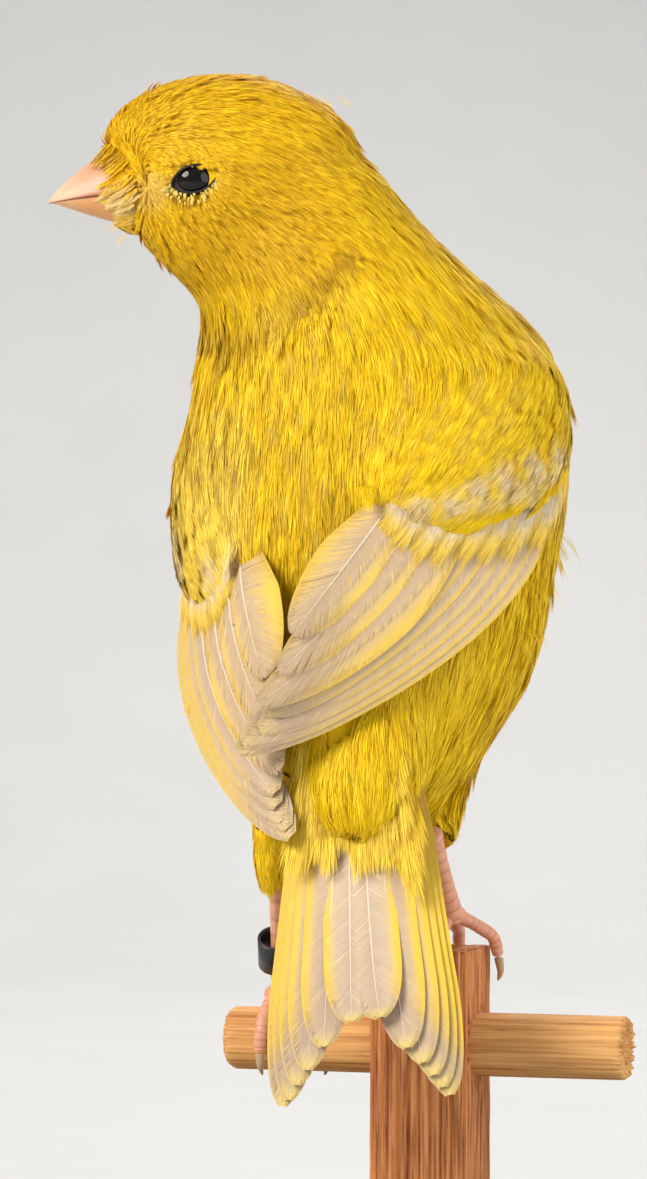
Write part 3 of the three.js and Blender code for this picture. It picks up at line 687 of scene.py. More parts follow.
    def quills(self, patch: Patch, radius: float, tone: Colour, rows: int = 14) -> None:
        """Adds a raised shaft along each feather.

        Args:
            patch: the mesh in the making.
            radius: half width at the root, in millimetres.
            tone: colour of the shaft.
            rows: stations along it.
        """
        n = len(self.length)
        s = np.linspace(0, 0.97, rows)
        share = np.broadcast_to(np.repeat(s, 3), (n, rows * 3))
        _, _, across, out = self.shafts.at(share)
        size = radius * MM * (1 - 0.85 * share)[..., None]
        x = np.tile([-1.0, 0.0, 1.0], rows)[None, :, None]
        base = self.surface(share, np.zeros_like(share), np.full_like(share, (0.03 + self.weave.camber) * MM))
        verts = base + across * x * size + out * (1 - np.abs(x)) * size * 1.3
        quads = grid_quads(rows, 3)[None] + np.arange(n)[:, None, None] * rows * 3
        turned = ~self.facing()
        quads[turned] = quads[turned][..., ::-1]
        colours = np.broadcast_to(np.array(tone), verts.shape)
        soft = out + across * x * 1.2
        patch.add(verts, quads, NO_FACES, colours, self.places_at(share, np.zeros_like(share)), soft)


# Finishes

class Nodes:
    """A material's node tree, with short ways to add to it."""

    def __init__(self, name: str, colour: Colour, roughness: float, **sockets: float) -> None:
        """Starts a material with its shader's own values.

        Args:
            name: the material's name.
            colour: its base colour.
            roughness: the shader's roughness.
            sockets: values of the shader by name.
        """
        self.material = bpy.data.materials.new(name)
        self.material.use_nodes = True
        self.tree = self.material.node_tree
        self.shader = self.tree.nodes["Principled BSDF"]
        self.shader.inputs["Base Color"].default_value = (*colour, 1)
        self.shader.inputs["Roughness"].default_value = roughness
        for socket, value in sockets.items():
            self.shader.inputs[socket.replace("_", " ")].default_value = value

    def add(self, kind: str, **values: object) -> bpy.types.Node:
        """Adds a node and sets its properties or input sockets by name.

        Args:
            kind: the node's type.
            values: properties or sockets by name.

        Returns:
            The node.
        """
        node = self.tree.nodes.new(kind)
        for key, value in values.items():
            if hasattr(node, key):
                setattr(node, key, value)
            else:
                node.inputs[key.replace("_", " ")].default_value = value
        return node

    def link(self, source: Socket, target: Socket) -> None:
        """Joins two sockets."""
        self.tree.links.new(source, target)

    def coordinates(self, scale: Spot) -> Socket:
        """Object coordinates, stretched along the axes by scale.

        Args:
            scale: the stretch along each axis.

        Returns:
            The stretched coordinates.
        """
        where = self.add("ShaderNodeTexCoord")
        mapping = self.add("ShaderNodeMapping", Scale=scale)
        self.link(where.outputs["Object"], mapping.inputs["Vector"])
        return mapping.outputs["Vector"]

    def noise(self, vector: Socket, scale: float, detail: float = 3.0) -> Socket:
        """A noise value on a vector.

        Args:
            vector: where it is read.
            scale: how fine it is.
            detail: octaves.

        Returns:
            The noise.
        """
        node = self.add("ShaderNodeTexNoise", Scale=scale, Detail=detail)
        self.link(vector, node.inputs["Vector"])
        return node.outputs["Fac"]

    def ramp(self, value: Socket, stops: list[tuple[float, Colour]]) -> Socket:
        """A colour ramp over a value.

        Args:
            value: what is read.
            stops: places and colours.

        Returns:
            The colour.
        """
        node = self.add("ShaderNodeValToRGB")
        while len(node.color_ramp.elements) < len(stops):
            node.color_ramp.elements.new(0.5)
        for element, (place, colour) in zip(node.color_ramp.elements, stops):
            element.position = place
            element.color = (*colour, 1)
        self.link(value, node.inputs["Fac"])
        return node.outputs["Color"]

    def bump(self, value: Socket, depth: float, strength: float = 1.0) -> None:
        """Bumps the surface by a value, depth in millimetres.

        Args:
            value: what is read.
            depth: height in millimetres.
            strength: share of the full effect.
        """
        node = self.add("ShaderNodeBump", Strength=strength, Distance=depth * MM)
        self.link(value, node.inputs["Height"])
        self.link(node.outputs["Normal"], self.shader.inputs["Normal"])

    def cloud(self, scale: Spot, size: float, low: Colour, detail: float = 3.0) -> Socket:
        """A soft cloud between a low colour and white."""
        return self.ramp(self.noise(self.coordinates(scale), size, detail), [(0.3, low), (0.7, (1, 1, 1))])

    def marking(self) -> Socket:
        """The colour painted on the piece."""
        return self.add("ShaderNodeAttribute", attribute_name="Marking").outputs["Color"]

    def colour_from(self, socket: Socket) -> None:
        """Feeds the base colour."""
        self.link(socket, self.shader.inputs["Base Color"])

    def multiply(self, first: Socket, second: Socket, share: float) -> Socket:
        """Multiplies two colours by a share.

        Args:
            first: a colour.
            second: the other colour.
            share: strength of the second one.

        Returns:
            The product.
        """
        node = self.add("ShaderNodeMix", data_type="RGBA", blend_type="MULTIPLY")
        node.inputs["Factor"].default_value = share
        self.link(first, node.inputs[6])
        self.link(second, node.inputs[7])
        return node.outputs[2]


@dataclass(frozen=True)
class Plumage:
    """Feather finish: the marking painted on each feather, with a fine mottle."""

    name: str
    roughness: float = 0.55
    gloss: float = 0.16

    def make(self) -> Material:
        """Makes the material.

        Returns:
            The material.
        """
        nodes = Nodes(self.name, (0.8, 0.6, 0.1), self.roughness, Specular_IOR_Level=self.gloss)
        mottle = nodes.cloud((1, 1, 1), 900.0, (0.9, 0.87, 0.8))
        nodes.colour_from(nodes.multiply(nodes.marking(), mottle, 0.5))
        return nodes.material


@dataclass(frozen=True)
class Horn:
    """Bill and claws: satin horn over the colours painted on the piece."""

    name: str
    roughness: float = 0.36

    def make(self) -> Material:
        """Makes the material.

        Returns:
            The material.
        """
        nodes = Nodes(self.name, (0.8, 0.5, 0.4), self.roughness, Specular_IOR_Level=0.35)
        nodes.shader.inputs["Subsurface Weight"].default_value = 0.12
        nodes.shader.inputs["Subsurface Radius"].default_value = (0.0012, 0.0006, 0.0004)
        nodes.shader.inputs["Subsurface Scale"].default_value = 1.0
        cloud = nodes.cloud((1, 1, 2), 420.0, (0.9, 0.84, 0.8), 4.0)
        nodes.colour_from(nodes.multiply(nodes.marking(), cloud, 0.7))
        nodes.bump(nodes.noise(nodes.coordinates((1, 1, 3)), 1400.0), 0.03, 0.6)
        return nodes.material


@dataclass(frozen=True)
class Wet:
    """Eye: dark and glossy over its painted iris."""

    name: str = "eye_wet"

    def make(self) -> Material:
        """Makes the material.

        Returns:
            The material.
        """
        nodes = Nodes(self.name, (0.01, 0.008, 0.006), 0.04, Specular_IOR_Level=0.3)
        nodes.colour_from(nodes.marking())
        return nodes.material


@dataclass(frozen=True)
class Scaled:
    """Leg skin: orange-pink scales with redder seams from the piece's own paint."""

    name: str = "leg_skin"
    roughness: float = 0.5

    def make(self) -> Material:
        """Makes the material.

        Returns:
            The material.
        """
        nodes = Nodes(self.name, (0.62, 0.30, 0.2), self.roughness, Coat_Weight=0.08)
        cloud = nodes.cloud((1, 1, 1), 700.0, (0.78, 0.72, 0.7))
        nodes.colour_from(nodes.multiply(nodes.marking(), cloud, 0.7))
        nodes.bump(nodes.noise(nodes.coordinates((1, 1, 1)), 1800.0), 0.05)
        return nodes.material


@dataclass(frozen=True)
class Wood:
    """Bare softwood: fine and broad grain stretched along one axis, with darker pores."""

    name: str
    pale: Colour
    dark: Colour
    grain: Spot
    roughness: float = 0.66

    def make(self) -> Material:
        """Makes the material.

        Returns:
            The material.
        """
        nodes = Nodes(self.name, self.pale, self.roughness, Specular_IOR_Level=0.25)
        where = nodes.coordinates(self.grain)
        fine, broad = nodes.noise(where, 2300.0, 6.0), nodes.noise(where, 420.0, 4.0)
        pores = nodes.noise(where, 2600.0)
        middle = tuple(0.6 * a + 0.4 * b for a, b in zip(self.pale, self.dark))
        first = nodes.ramp(fine, [(0.36, self.dark), (0.47, middle), (0.6, self.pale)])
        second = nodes.ramp(broad, [(0.34, (0.66, 0.54, 0.46)), (0.5, (0.93, 0.9, 0.86)), (0.62, (1, 1, 1))])
        third = nodes.ramp(pores, [(0.3, (0.45, 0.33, 0.26)), (0.4, (1, 1, 1))])
        nodes.colour_from(nodes.multiply(nodes.multiply(first, second, 0.85), third, 0.7))
        nodes.bump(fine, 0.12, 0.7)
        return nodes.material


@dataclass(frozen=True)
class Plain:
    """An even finish with a faint mottle: stand, ring, eye, floor."""

    name: str
    colour: Colour
    roughness: float
    mottle: float = 0.15
    scale: float = 500.0

    def make(self) -> Material:
        """Makes the material.

        Returns:
            The material.
        """
        nodes = Nodes(self.name, self.colour, self.roughness)
        low = tuple(c * (1 - self.mottle) for c in self.colour)
        cloud = nodes.noise(nodes.coordinates((1, 1, 1)), self.scale)
        nodes.colour_from(nodes.ramp(cloud, [(0.35, low), (0.65, self.colour)]))
        return nodes.material


def shaped_ball(around: int, along: int, place: Callable[[Array, Array], Array]) -> Shape:
    """A ball whose skin is sent to a shape of its own.

    Args:
        around: segments round it.
        along: rings from end to end.
        place: gives laid-out millimetres for shares of the height and angles.

    Returns:
        The closed shape, its faces outwards.
    """
    bm = bmesh.new()
    bmesh.ops.create_uvsphere(bm, u_segments=around, v_segments=along, radius=1)
    co = placed(bm.verts)
    share = np.arccos(np.clip(-co[:, 2], -1, 1)) / math.pi
    angle = np.arctan2(co[:, 1], co[:, 0])
    sent(bm, seen(place(share, angle)))
    bmesh.ops.recalc_face_normals(bm, faces=bm.faces)
    return bm


def placed(parts: bpy.types.bpy_prop_collection) -> Array:
    """Places of a mesh's or a bmesh's vertices."""
    return np.array([v.co[:] for v in parts])


def sent(bm: Shape, spots: Array) -> None:
    """Sends each vertex of a bmesh to a spot of its own."""
    for vert, spot in zip(bm.verts, spots):
        vert.co = spot


def meshed(bm: Shape, name: str, smooth: bool = True) -> bpy.types.Mesh:
    """Turns a bmesh into a mesh and frees it.

    Args:
        bm: the shape, freed here.
        name: the piece's name.
        smooth: whether its faces are shaded smooth.

    Returns:
        The mesh.
    """
    mesh = bpy.data.meshes.new(name)
    bm.to_mesh(mesh)
    bm.free()
    mesh.polygons.foreach_set("use_smooth", np.full(len(mesh.polygons), smooth))
    return mesh


def finished(bm: Shape, name: str, material: Material, smooth: bool = True) -> Piece:
    """Turns a bmesh into a piece of the model.

    Args:
        bm: the shape, freed here.
        name: the piece's name.
        material: its finish.
        smooth: whether its faces are shaded smooth.

    Returns:
        The new object.
    """
    return dressed(name, meshed(bm, name, smooth), material)


# Wings

@dataclass(frozen=True)
class Wing:
    """One folded wing: the surface its shafts lie in, from leading to trailing edge, in the body's frame."""

    name: str
    side: int
    roots: tuple[Spot, Spot]
    middles: tuple[Spot, Spot]
    tips: tuple[Spot, Spot]
    arm_turn: float
    arm_height: float
    arm_sweep: float = 50.0
    arm_rise: float = 11.5
    arm_shear: float = 3.0
    arm_depth: float = 3.1
    arm_radii: Pair = (21.2, 23.4)

    def surface(self, share: Array, along: Array) -> Array:
        """Laid-out points of the folded wing.

        Args:
            share: 0 at the leading edge to 1 at the trailing edge.
            along: 0 at the roots to 1 at the tips.

        Returns:
            Laid-out millimetres.
        """
        share, along = np.broadcast_arrays(np.asarray(share, float), np.asarray(along, float))
        root, middle, tip = (blend(row[0], row[1], share) for row in (self.roots, self.middles, self.tips))
        bend = 2 * middle - 0.5 * (root + tip)
        a = along[..., None]
        return on_body((1 - a) ** 2 * root + 2 * a * (1 - a) * bend + a * a * tip)

    def shafts(self, share: Array, span: tuple[Array, Array], lift: Pair, apart: float,
               stations: int = 16) -> Shafts:
        """Frames along a tier of feathers.

        Args:
            share: place of each feather from leading to trailing edge.
            span: where along the wing each starts and ends.
            lift: height over the surface at the roots and at the tips, in millimetres.
            apart: clearance between neighbours, in millimetres.
            stations: frames on each.

        Returns:
            The frames, in the row's metres.
        """
        s = np.linspace(0, 1, stations)[None]
        along = span[0][:, None] + (span[1] - span[0])[:, None] * s
        where = np.broadcast_to(share[:, None], along.shape)
        eps = 0.01
        place = seen(self.surface(where, along))
        ahead = unit(seen(self.surface(where, along + eps)) - seen(self.surface(where, along - eps)))
        step = seen(self.surface(where + eps, along)) - seen(self.surface(where - eps, along))
        step = squared(step, ahead)
        pitch = np.linalg.norm(step, axis=-1) / (2 * eps) * np.ptp(share) / (len(share) - 1)
        across = unit(step)
        out = unit(np.cross(across, ahead)) * self.side
        tilt = np.arcsin(np.clip(apart * MM / np.maximum(pitch, 1e-9), 0, 0.5))[..., None]
        leaned = across * np.cos(tilt) - out * np.sin(tilt)
        proud = out * np.cos(tilt) + across * np.sin(tilt)
        high = lift[1] + (lift[0] - lift[1]) * (1 - s**3)
        return Shafts(place + out * high[..., None] * MM, ahead, leaned, proud)

    def arm(self, share: Array, angle: Array, grow: float = 0.0) -> Array:
        """Laid-out points of the folded arm under its small coverts.

        Args:
            share: shares from pole to pole.
            angle: angles round it.
            grow: extra size in millimetres.

        Returns:
            Laid-out millimetres.
        """
        polar = math.pi * (1 - share)
        a = np.sin(polar) * np.cos(angle)
        b = np.sin(polar) * np.sin(angle) * self.side
        turn = np.radians(self.arm_turn + self.arm_sweep * a)
        rest = self.arm_radii[0] + (self.arm_radii[1] - self.arm_radii[0]) * ramp(a, -1, 0.6)
        radius = rest + (self.arm_depth + grow) * np.cos(polar)
        z = self.arm_height + self.arm_rise * b + self.arm_shear * a
        return on_body(np.stack([self.side * radius * np.sin(turn), -radius * np.cos(turn), z], -1))

    def arm_share(self, points: Array) -> Array:
        """How deep laid-out points lie in the arm's outline: 1 at its middle, 0 at its rim.

        Args:
            points: laid-out millimetres.

        Returns:
            0 to 1 for each point.
        """
        own = to_body(points)
        turn = np.degrees(np.arctan2(own[..., 0] * self.side, -own[..., 1]))
        a = (turn - self.arm_turn) / self.arm_sweep
        b = (own[..., 2] - self.arm_height - self.arm_shear * a) / self.arm_rise
        return np.clip(1 - np.sqrt(a * a + b * b), 0, 1)


RIGHT_WING = Wing("wing_right", 1, ((21.5, 2, 74), (9, -18, 68.5)), ((19.6, -12.8, 54.5), (5.5, -27.6, 60.5)),
                  ((-5.4, -30.4, 37), (-0.5, -33, 48)), 66, 74.5)
LEFT_WING = Wing("wing_left", -1, ((-21.5, 1, 65), (-9, -19, 60.5)), ((-18.4, -14.2, 45), (-5, -25.4, 54)),
                 ((-0.4, -24.6, 26.8), (-1, -27, 42)), 66, 66)


@dataclass(frozen=True)
class Tier:
    """One row of vanes of a folded wing."""

    shares: tuple[float, ...]
    starts: tuple[float, ...]
    ends: tuple[float, ...]
    lift: Pair
    step: float
    webs: Pair
    weave: Weave
    quill: float = 0.0


SMOOTH = Weave(strands=420, sweep=0.07, tip_round=0.17, loose=0.03, blade=0.26, roll=0.05, rise=0.004,
               droop=0.008, web_grid=(44, 11), web_share=(0.985, 0.998), camber=0.3, relief=0.3,
               streaky=0.05, contrast=0.03, deep=0.0, bright=0.03)
BROAD = Weave(strands=460, sweep=0.14, tip_round=0.42, loose=0.1, blade=0.24, roll=0.08, rise=0.02,
              droop=0.012, web_grid=(30, 11), web_share=(0.97, 0.99), camber=0.35, relief=0.35,
              streaky=0.12, contrast=0.05, deep=0.02, bright=0.05, foot=0.05, foot_span=0.6)
SOFT_COVERT = Weave(strands=560, sweep=0.4, tip_round=0.85, loose=0.4, blade=0.085, roll=0.15, rise=0.1,
                    relief=0.35, mat=True, web_grid=(14, 7), web_share=(0.9, 0.86), camber=0.15,
                    streaky=0.15, contrast=0.05, deep=0.03, bright=0.06)
DOWNY = Weave(strands=400, sweep=0.4, tip_round=0.6, loose=0.5, blade=0.075, roll=0.2, rise=0.2, relief=0.35,
              mat=True, web_grid=(12, 5), web_share=(0.88, 0.84), camber=0.2, contrast=0.06, deep=0.05,
              bright=0.07)
SHAFT_TONE = (0.80, 0.68, 0.52)


def bake_row(count: int, margin: float, height: float) -> Array:
    """Bake places of feathers side by side at one height of the map."""
    along = margin + (1 - 2 * margin) * (np.arange(count) + 0.5) / count
    return np.stack([along, np.full(count, height)], -1)


@dataclass
class FoldedWing:
    """Flight feathers in tiers over one folded wing."""

    wing: Wing
    seed: int
    flight_shares: tuple[float, ...] = (0.0, 0.07, 0.14, 0.215, 0.295, 0.38)
    tertial_shares: tuple[float, ...] = (0.52, 0.7, 0.88)
    tertial_webs: Pair = (4.6, 3.8)

    def tiers(self) -> tuple[tuple[Tier, Painter], ...]:
        """The rows of vanes from the lowest to the top one, with their colours.

        Returns:
            Each row with its painter.
        """
        flights = Tier(self.flight_shares, (0.03,) * 6, (1.0, 0.985, 0.96, 0.93, 0.945, 0.96),
                       (0.0, 0.0), 0.4, (2.3, 4.0), SMOOTH, 0.2)
        tertials = Tier(self.tertial_shares, (-0.07,) * 3, (0.99, 0.93, 0.84),
                        (0.35, 0.35), 0.6, self.tertial_webs, BROAD, 0.16)
        bulge = np.sin(np.linspace(0, 3, 12))
        greater = Tier((-0.02, 0.1, 0.22, 0.34, 0.46, 0.58, 0.7, 0.82), (-0.06,) * 8,
                       (0.3, 0.33, 0.37, 0.39, 0.4, 0.4, 0.37, 0.32),
                       (1.7, 0.75), 0.25, (2.9, 3.2), SOFT_COVERT)
        median = Tier(tuple(np.linspace(-0.02, 0.88, 12)), (-0.1,) * 12, tuple(0.15 + 0.06 * bulge),
                      (2.3, 1.5), 0.1, (2.5, 2.7), DOWNY)
        lesser = Tier(tuple(np.linspace(0.0, 0.86, 12)), (-0.16,) * 12, tuple(0.08 + 0.05 * bulge),
                      (2.7, 2.2), 0.1, (2.6, 2.7), DOWNY)
        return ((flights, self.flight_paint), (tertials, self.tertial_paint), (greater, self.greater_paint),
                (median, self.median_paint), (lesser, self.median_paint))

    def build(self, finish: Material) -> Piece:
        """Makes the wing's vanes and lets them stand for its solid.

        Args:
            finish: the material.

        Returns:
            The wing's piece.
        """
        patch = Patch()
        rng = np.random.default_rng(self.seed)
        for row, (tier, paint) in enumerate(self.tiers()):
            count = len(tier.shares)
            share = np.array(tier.shares) + rng.normal(0, 0.006, count)
            first = np.array(tier.starts) + rng.normal(0, 0.006, count)
            last = np.array(tier.ends) + rng.normal(0, 0.008, count)
            shafts = self.wing.shafts(share, (first, last), tier.lift, tier.step)
            outer, inner = (value * MM * rng.uniform(0.94, 1.08, count) for value in tier.webs)
            places = bake_row(count, 0.03, 0.15 + 0.17 * row)
            plumes = Plumes(shafts, last - first, outer, inner, np.zeros((count, 2)), paint, places,
                            tier.weave, rng)
            plumes.lay(patch)
            if tier.quill:
                plumes.quills(patch, tier.quill, SHAFT_TONE)
        piece = patch.piece(f"{self.wing.name}_vanes", finish, "wing_feather")
        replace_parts(piece, self.wing.name)
        return piece

    @staticmethod
    def flight_paint(share: Array, side: Array) -> Array:
        """Mauve-cream vanes with a yellow outer edge.

        Args:
            share: shares of the length, 0 at the root.
            side: places across, the outer web below 0.

        Returns:
            The colours.
        """
        colour = tint(Tone.CREAM, share)
        colour = blend(colour, Tone.MAUVE, 0.5 * ramp(side, -0.6, 0.1) * (1 - 0.6 * ramp(share, 0.7, 1)))
        colour = blend(colour, Tone.YELLOW, 0.8 * ramp(-side, 0.7, 0.92) * (1 - 0.6 * ramp(share, 0.7, 1)))
        return blend(colour, Tone.PALE, 0.3 * ramp(share, 0.95, 1.0)) * 0.86

    @staticmethod
    def tertial_paint(share: Array, side: Array) -> Array:
        """Cream centres, broad streaky yellow edges and pale tips.

        Args:
            share: shares of the length, 0 at the root.
            side: places across, the outer web below 0.

        Returns:
            The colours.
        """
        colour = tint(Tone.CREAM, share)
        colour = blend(colour, Tone.MAUVE, 0.5 * ramp(-np.abs(side + 0.1), -0.45, -0.05))
        edge = ramp(np.abs(side + 0.05), 0.3, 0.8) * (1 - 0.35 * ramp(share, 0.85, 1))
        return blend(colour, (0.90, 0.60, 0.05), 0.72 * edge + 0.1) * 0.92

    @staticmethod
    def greater_paint(share: Array, side: Array) -> Array:
        """Whitish bases and middles, bright yellow edges and ends.

        Args:
            share: shares of the length, 0 at the root.
            side: places across, the outer web below 0.

        Returns:
            The colours.
        """
        colour = tint(Tone.WHITE, share)
        colour = blend(colour, Tone.MAUVE, 0.35 * ramp(-np.abs(side - 0.2), -0.6, 0.0))
        colour = blend(colour, Tone.YELLOW, 0.7 * ramp(np.abs(side), 0.3, 0.8))
        colour = blend(colour, Tone.YELLOW, 0.9 * ramp(-share, -0.6, -0.4))
        return blend(colour, Tone.YELLOW, 0.9 * ramp(share + 0.12 * np.abs(side), 0.72, 0.92))

    @staticmethod
    def median_paint(share: Array, side: Array) -> Array:
        """Yellow with a soft pale middle.

        Args:
            share: shares of the length, 0 at the root.
            side: places across, the outer web below 0.

        Returns:
            The colours.
        """
        colour = tint(Tone.YELLOW, share)
        colour = blend(colour, Tone.PALE, 0.3 * ramp(-np.abs(side), -0.5, 0) * ramp(share, 0.3, 0.8))
        return blend(colour, Tone.OCHRE, 0.2 * ramp(-share, -0.6, -0.2))


# Tail

@dataclass
class Tail:
    """Twelve tail feathers and the soft coverts over and under their roots."""

    root: Spot = (-9.4, -12.5, 40)
    middle: Spot = (-9, -21, 19)
    end: Spot = (-8.2, -29.6, 1.5)
    turn: float = math.radians(14)
    spreads: Pair = (4.4, 9.8)
    offsets: tuple[float, ...] = (0.17, 0.5, 0.69, 0.82, 0.92, 1.0)
    fork: float = 11.8
    shortest: float = -5.5
    web: float = 3.5
    level: float = 0.42
    seed: int = 71

    def lines(self, offset: Array, drop: Array, along: Array) -> Array:
        """Laid-out points along feathers of the tail.

        Args:
            offset: sideways place of each feather, -1 to 1.
            drop: how much further down each one's tip lies, in millimetres.
            along: feathers x n shares from root to tip.

        Returns:
            Laid-out millimetres.
        """
        across = np.array([math.cos(self.turn), -math.sin(self.turn), 0])
        spot = [np.array(p, float) + np.zeros((len(offset), 3)) for p in (self.root, self.middle, self.end)]
        ends = offset * self.spreads[1] * np.where(offset < 0, 1.12, 1.0)
        roots = offset * self.spreads[0]
        for points, shift in zip(spot, (roots, roots + (ends - roots) * 0.42, ends)):
            points += shift[:, None] * across
        spot[2][:, 2] -= drop
        bend = 2 * spot[1] - 0.5 * (spot[0] + spot[2])
        a = along[..., None]
        return (1 - a) ** 2 * spot[0][:, None] + 2 * a * (1 - a) * bend[:, None] + a * a * spot[2][:, None]

    def shafts(self, offset: Array, drop: Array, span: tuple[Array, Array], lift: Array, under: bool = False,
               stations: int = 16) -> Shafts:
        """Frames along feathers of the tail; under turns their faces away from the back.

        Args:
            offset: sideways place of each feather, -1 to 1.
            drop: how much lower each tip lies.
            span: where each feather starts and ends.
            lift: height over the surface, in millimetres.
            under: whether they lie below the tail.
            stations: frames on each.

        Returns:
            The frames.
        """
        s = np.linspace(0, 1, stations)[None]
        along = span[0][:, None] + (span[1] - span[0])[:, None] * s
        place = seen(self.lines(offset, drop, along))
        beyond, before = (seen(self.lines(offset, drop, along + step)) for step in (0.01, -0.01))
        ahead = unit(beyond - before)
        face = np.array([-math.sin(self.turn), -math.cos(self.turn), 0.45]) * (-1 if under else 1)
        out = unit(squared(heading(face), ahead))
        across = np.cross(ahead, out)
        return Shafts(place + out * (lift * MM)[:, None, None], ahead, across, out)

    def build(self, finish: Material, coat: Material) -> None:
        """Makes the vanes, which stand for the solid tail, and the coverts.

        Args:
            finish: the material.
            coat: the coverts' material.
        """
        rng = np.random.default_rng(self.seed)
        ranks = np.arange(len(self.offsets))
        offset = np.concatenate([self.offsets, -np.array(self.offsets)])
        level = np.concatenate([ranks, ranks + 0.5])
        drop = self.fork * np.abs(offset) ** 1.1 * np.where(offset > 0, 0.82, 1) + self.shortest
        drop = drop + rng.normal(0, 0.5, len(offset))
        n = len(offset)
        shafts = self.shafts(offset, drop, (np.zeros(n), np.ones(n)), -level * self.level)
        outer = offset > 0
        narrow = np.where(np.abs(offset) < 0.2, self.web, self.web * 0.9)
        width_out = np.where(outer, self.web, narrow) * MM
        width_in = np.where(outer, narrow, self.web) * MM
        places = bake_row(n, 0.03, 0.6)
        patch = Patch()
        plumes = Plumes(shafts, np.ones(n), width_out, width_in, np.zeros((n, 2)), self.paint_vanes(offset),
                        places, replace(SMOOTH, tip_round=0.3), rng)
        plumes.lay(patch)
        plumes.quills(patch, 0.2, SHAFT_TONE)
        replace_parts(patch.piece("tail_vanes", finish, "tail_feather"), "tail")
        self.coverts(rng, coat)

    def coverts(self, rng: np.random.Generator, coat: Material) -> None:
        """Makes the soft feathers that cover the roots of the tail above and below.

        Args:
            rng: the random source.
            coat: the coverts' material.
        """
        patch = Patch()
        for under, count in ((False, 200), (True, 90)):
            offset = rng.uniform(-1.3, 1.3, count)
            start = np.sort(rng.uniform(-0.2, 0.13, count))[::-1] + 0.05 * ramp(offset, 0.3, 1.2)
            size = rng.uniform(0.24, 0.34, count)
            lift = 4.0 - 3.1 * ramp(start, -0.16, 0.1) + rng.uniform(0, 0.25, count)
            lift = lift + (2.2 if under else 0.0)
            shafts = self.shafts(offset, np.zeros(count), (start, start + size), lift, under)
            width = rng.uniform(1.5, 2.3, count) * MM
            tone = rng.normal(1, 0.03, (count, 1, 1))
            pale = 0.75 if under else 0.05

            def paint(share: Array, side: Array, tone: Array = tone, pale: float = pale) -> Array:
                """Colour at shares of the length and places across."""
                colour = tint(Tone.YELLOW, share)
                colour = blend(colour, Tone.PALE, np.clip(pale + 0.5 * ramp(share, 0.4, 1), 0, 1))
                return colour * tone

            places = bake_row(count, 0.05, 0.8 - 0.1 * under)
            weave = Weave(strands=128, sweep=0.5, loose=0.6, blade=0.13, roll=0.3, rise=0.35, mat=True)
            plumes = Plumes(shafts, size, width, width, np.zeros((count, 2)), paint, places, weave, rng)
            plumes.lay(patch)
        patch.piece("tail_coverts", coat, "plumage")

    def paint_vanes(self, offset: Array) -> Painter:
        """Colour of the tail vanes: near white middles, yellow outer edges.

        Args:
            offset: sideways place of each feather, -1 to 1.

        Returns:
            The painter.
        """
        outward = np.sign(offset)[:, None]

        def paint(share: Array, side: Array) -> Array:
            """Colour at shares of the length and places across."""
            edge = -side * outward
            colour = tint(Tone.CREAM, share)
            colour = blend(colour, Tone.WHITE, 0.4 * ramp(-np.abs(offset), -0.3, -0.1)[:, None] + 0 * share)
            middle = ramp(-np.abs(side - 0.1), -0.6, -0.1)
            colour = blend(colour, Tone.MAUVE, 0.45 * middle * ramp(share, 0.3, 0.7))
            colour = blend(colour, Tone.YELLOW, 0.85 * ramp(edge, 0.55, 0.85))
            colour = blend(colour, Tone.YELLOW, 0.6 * ramp(-edge, 0.8, 0.95) * ramp(share, 0.5, 0.8))
            return blend(colour, Tone.PALE, 0.6 * ramp(share, 0.93, 1.0)) * 0.87

        return paint


# Skin and coat

FLESH = ("head", "neck", "torso", "rump", "thigh_right", "thigh_left")
BILL_BASE = np.array([-40.5, 0.0, 107.2])
TAIL_SINK = np.array([-9.0, -24.0, 12.0])


def coat_depth(points: Array) -> Array:
    """Depth of the coat over the skin in millimetres at laid-out points.

    Args:
        points: laid-out millimetres.

    Returns:
        Millimetres.
    """
    head = ramp(points[..., 2], 90, 98) * ramp(-points[..., 0], 2, 12)
    face = head * ramp(-points[..., 0], 26, 38)
    thigh = ramp(-points[..., 2], -32, -24)
    near_bill = head * ramp(-np.linalg.norm(points - BILL_BASE, axis=-1), -9, -5)
    return 1.0 - 0.35 * head - 0.2 * face - 0.4 * thigh + 0.25 * near_bill


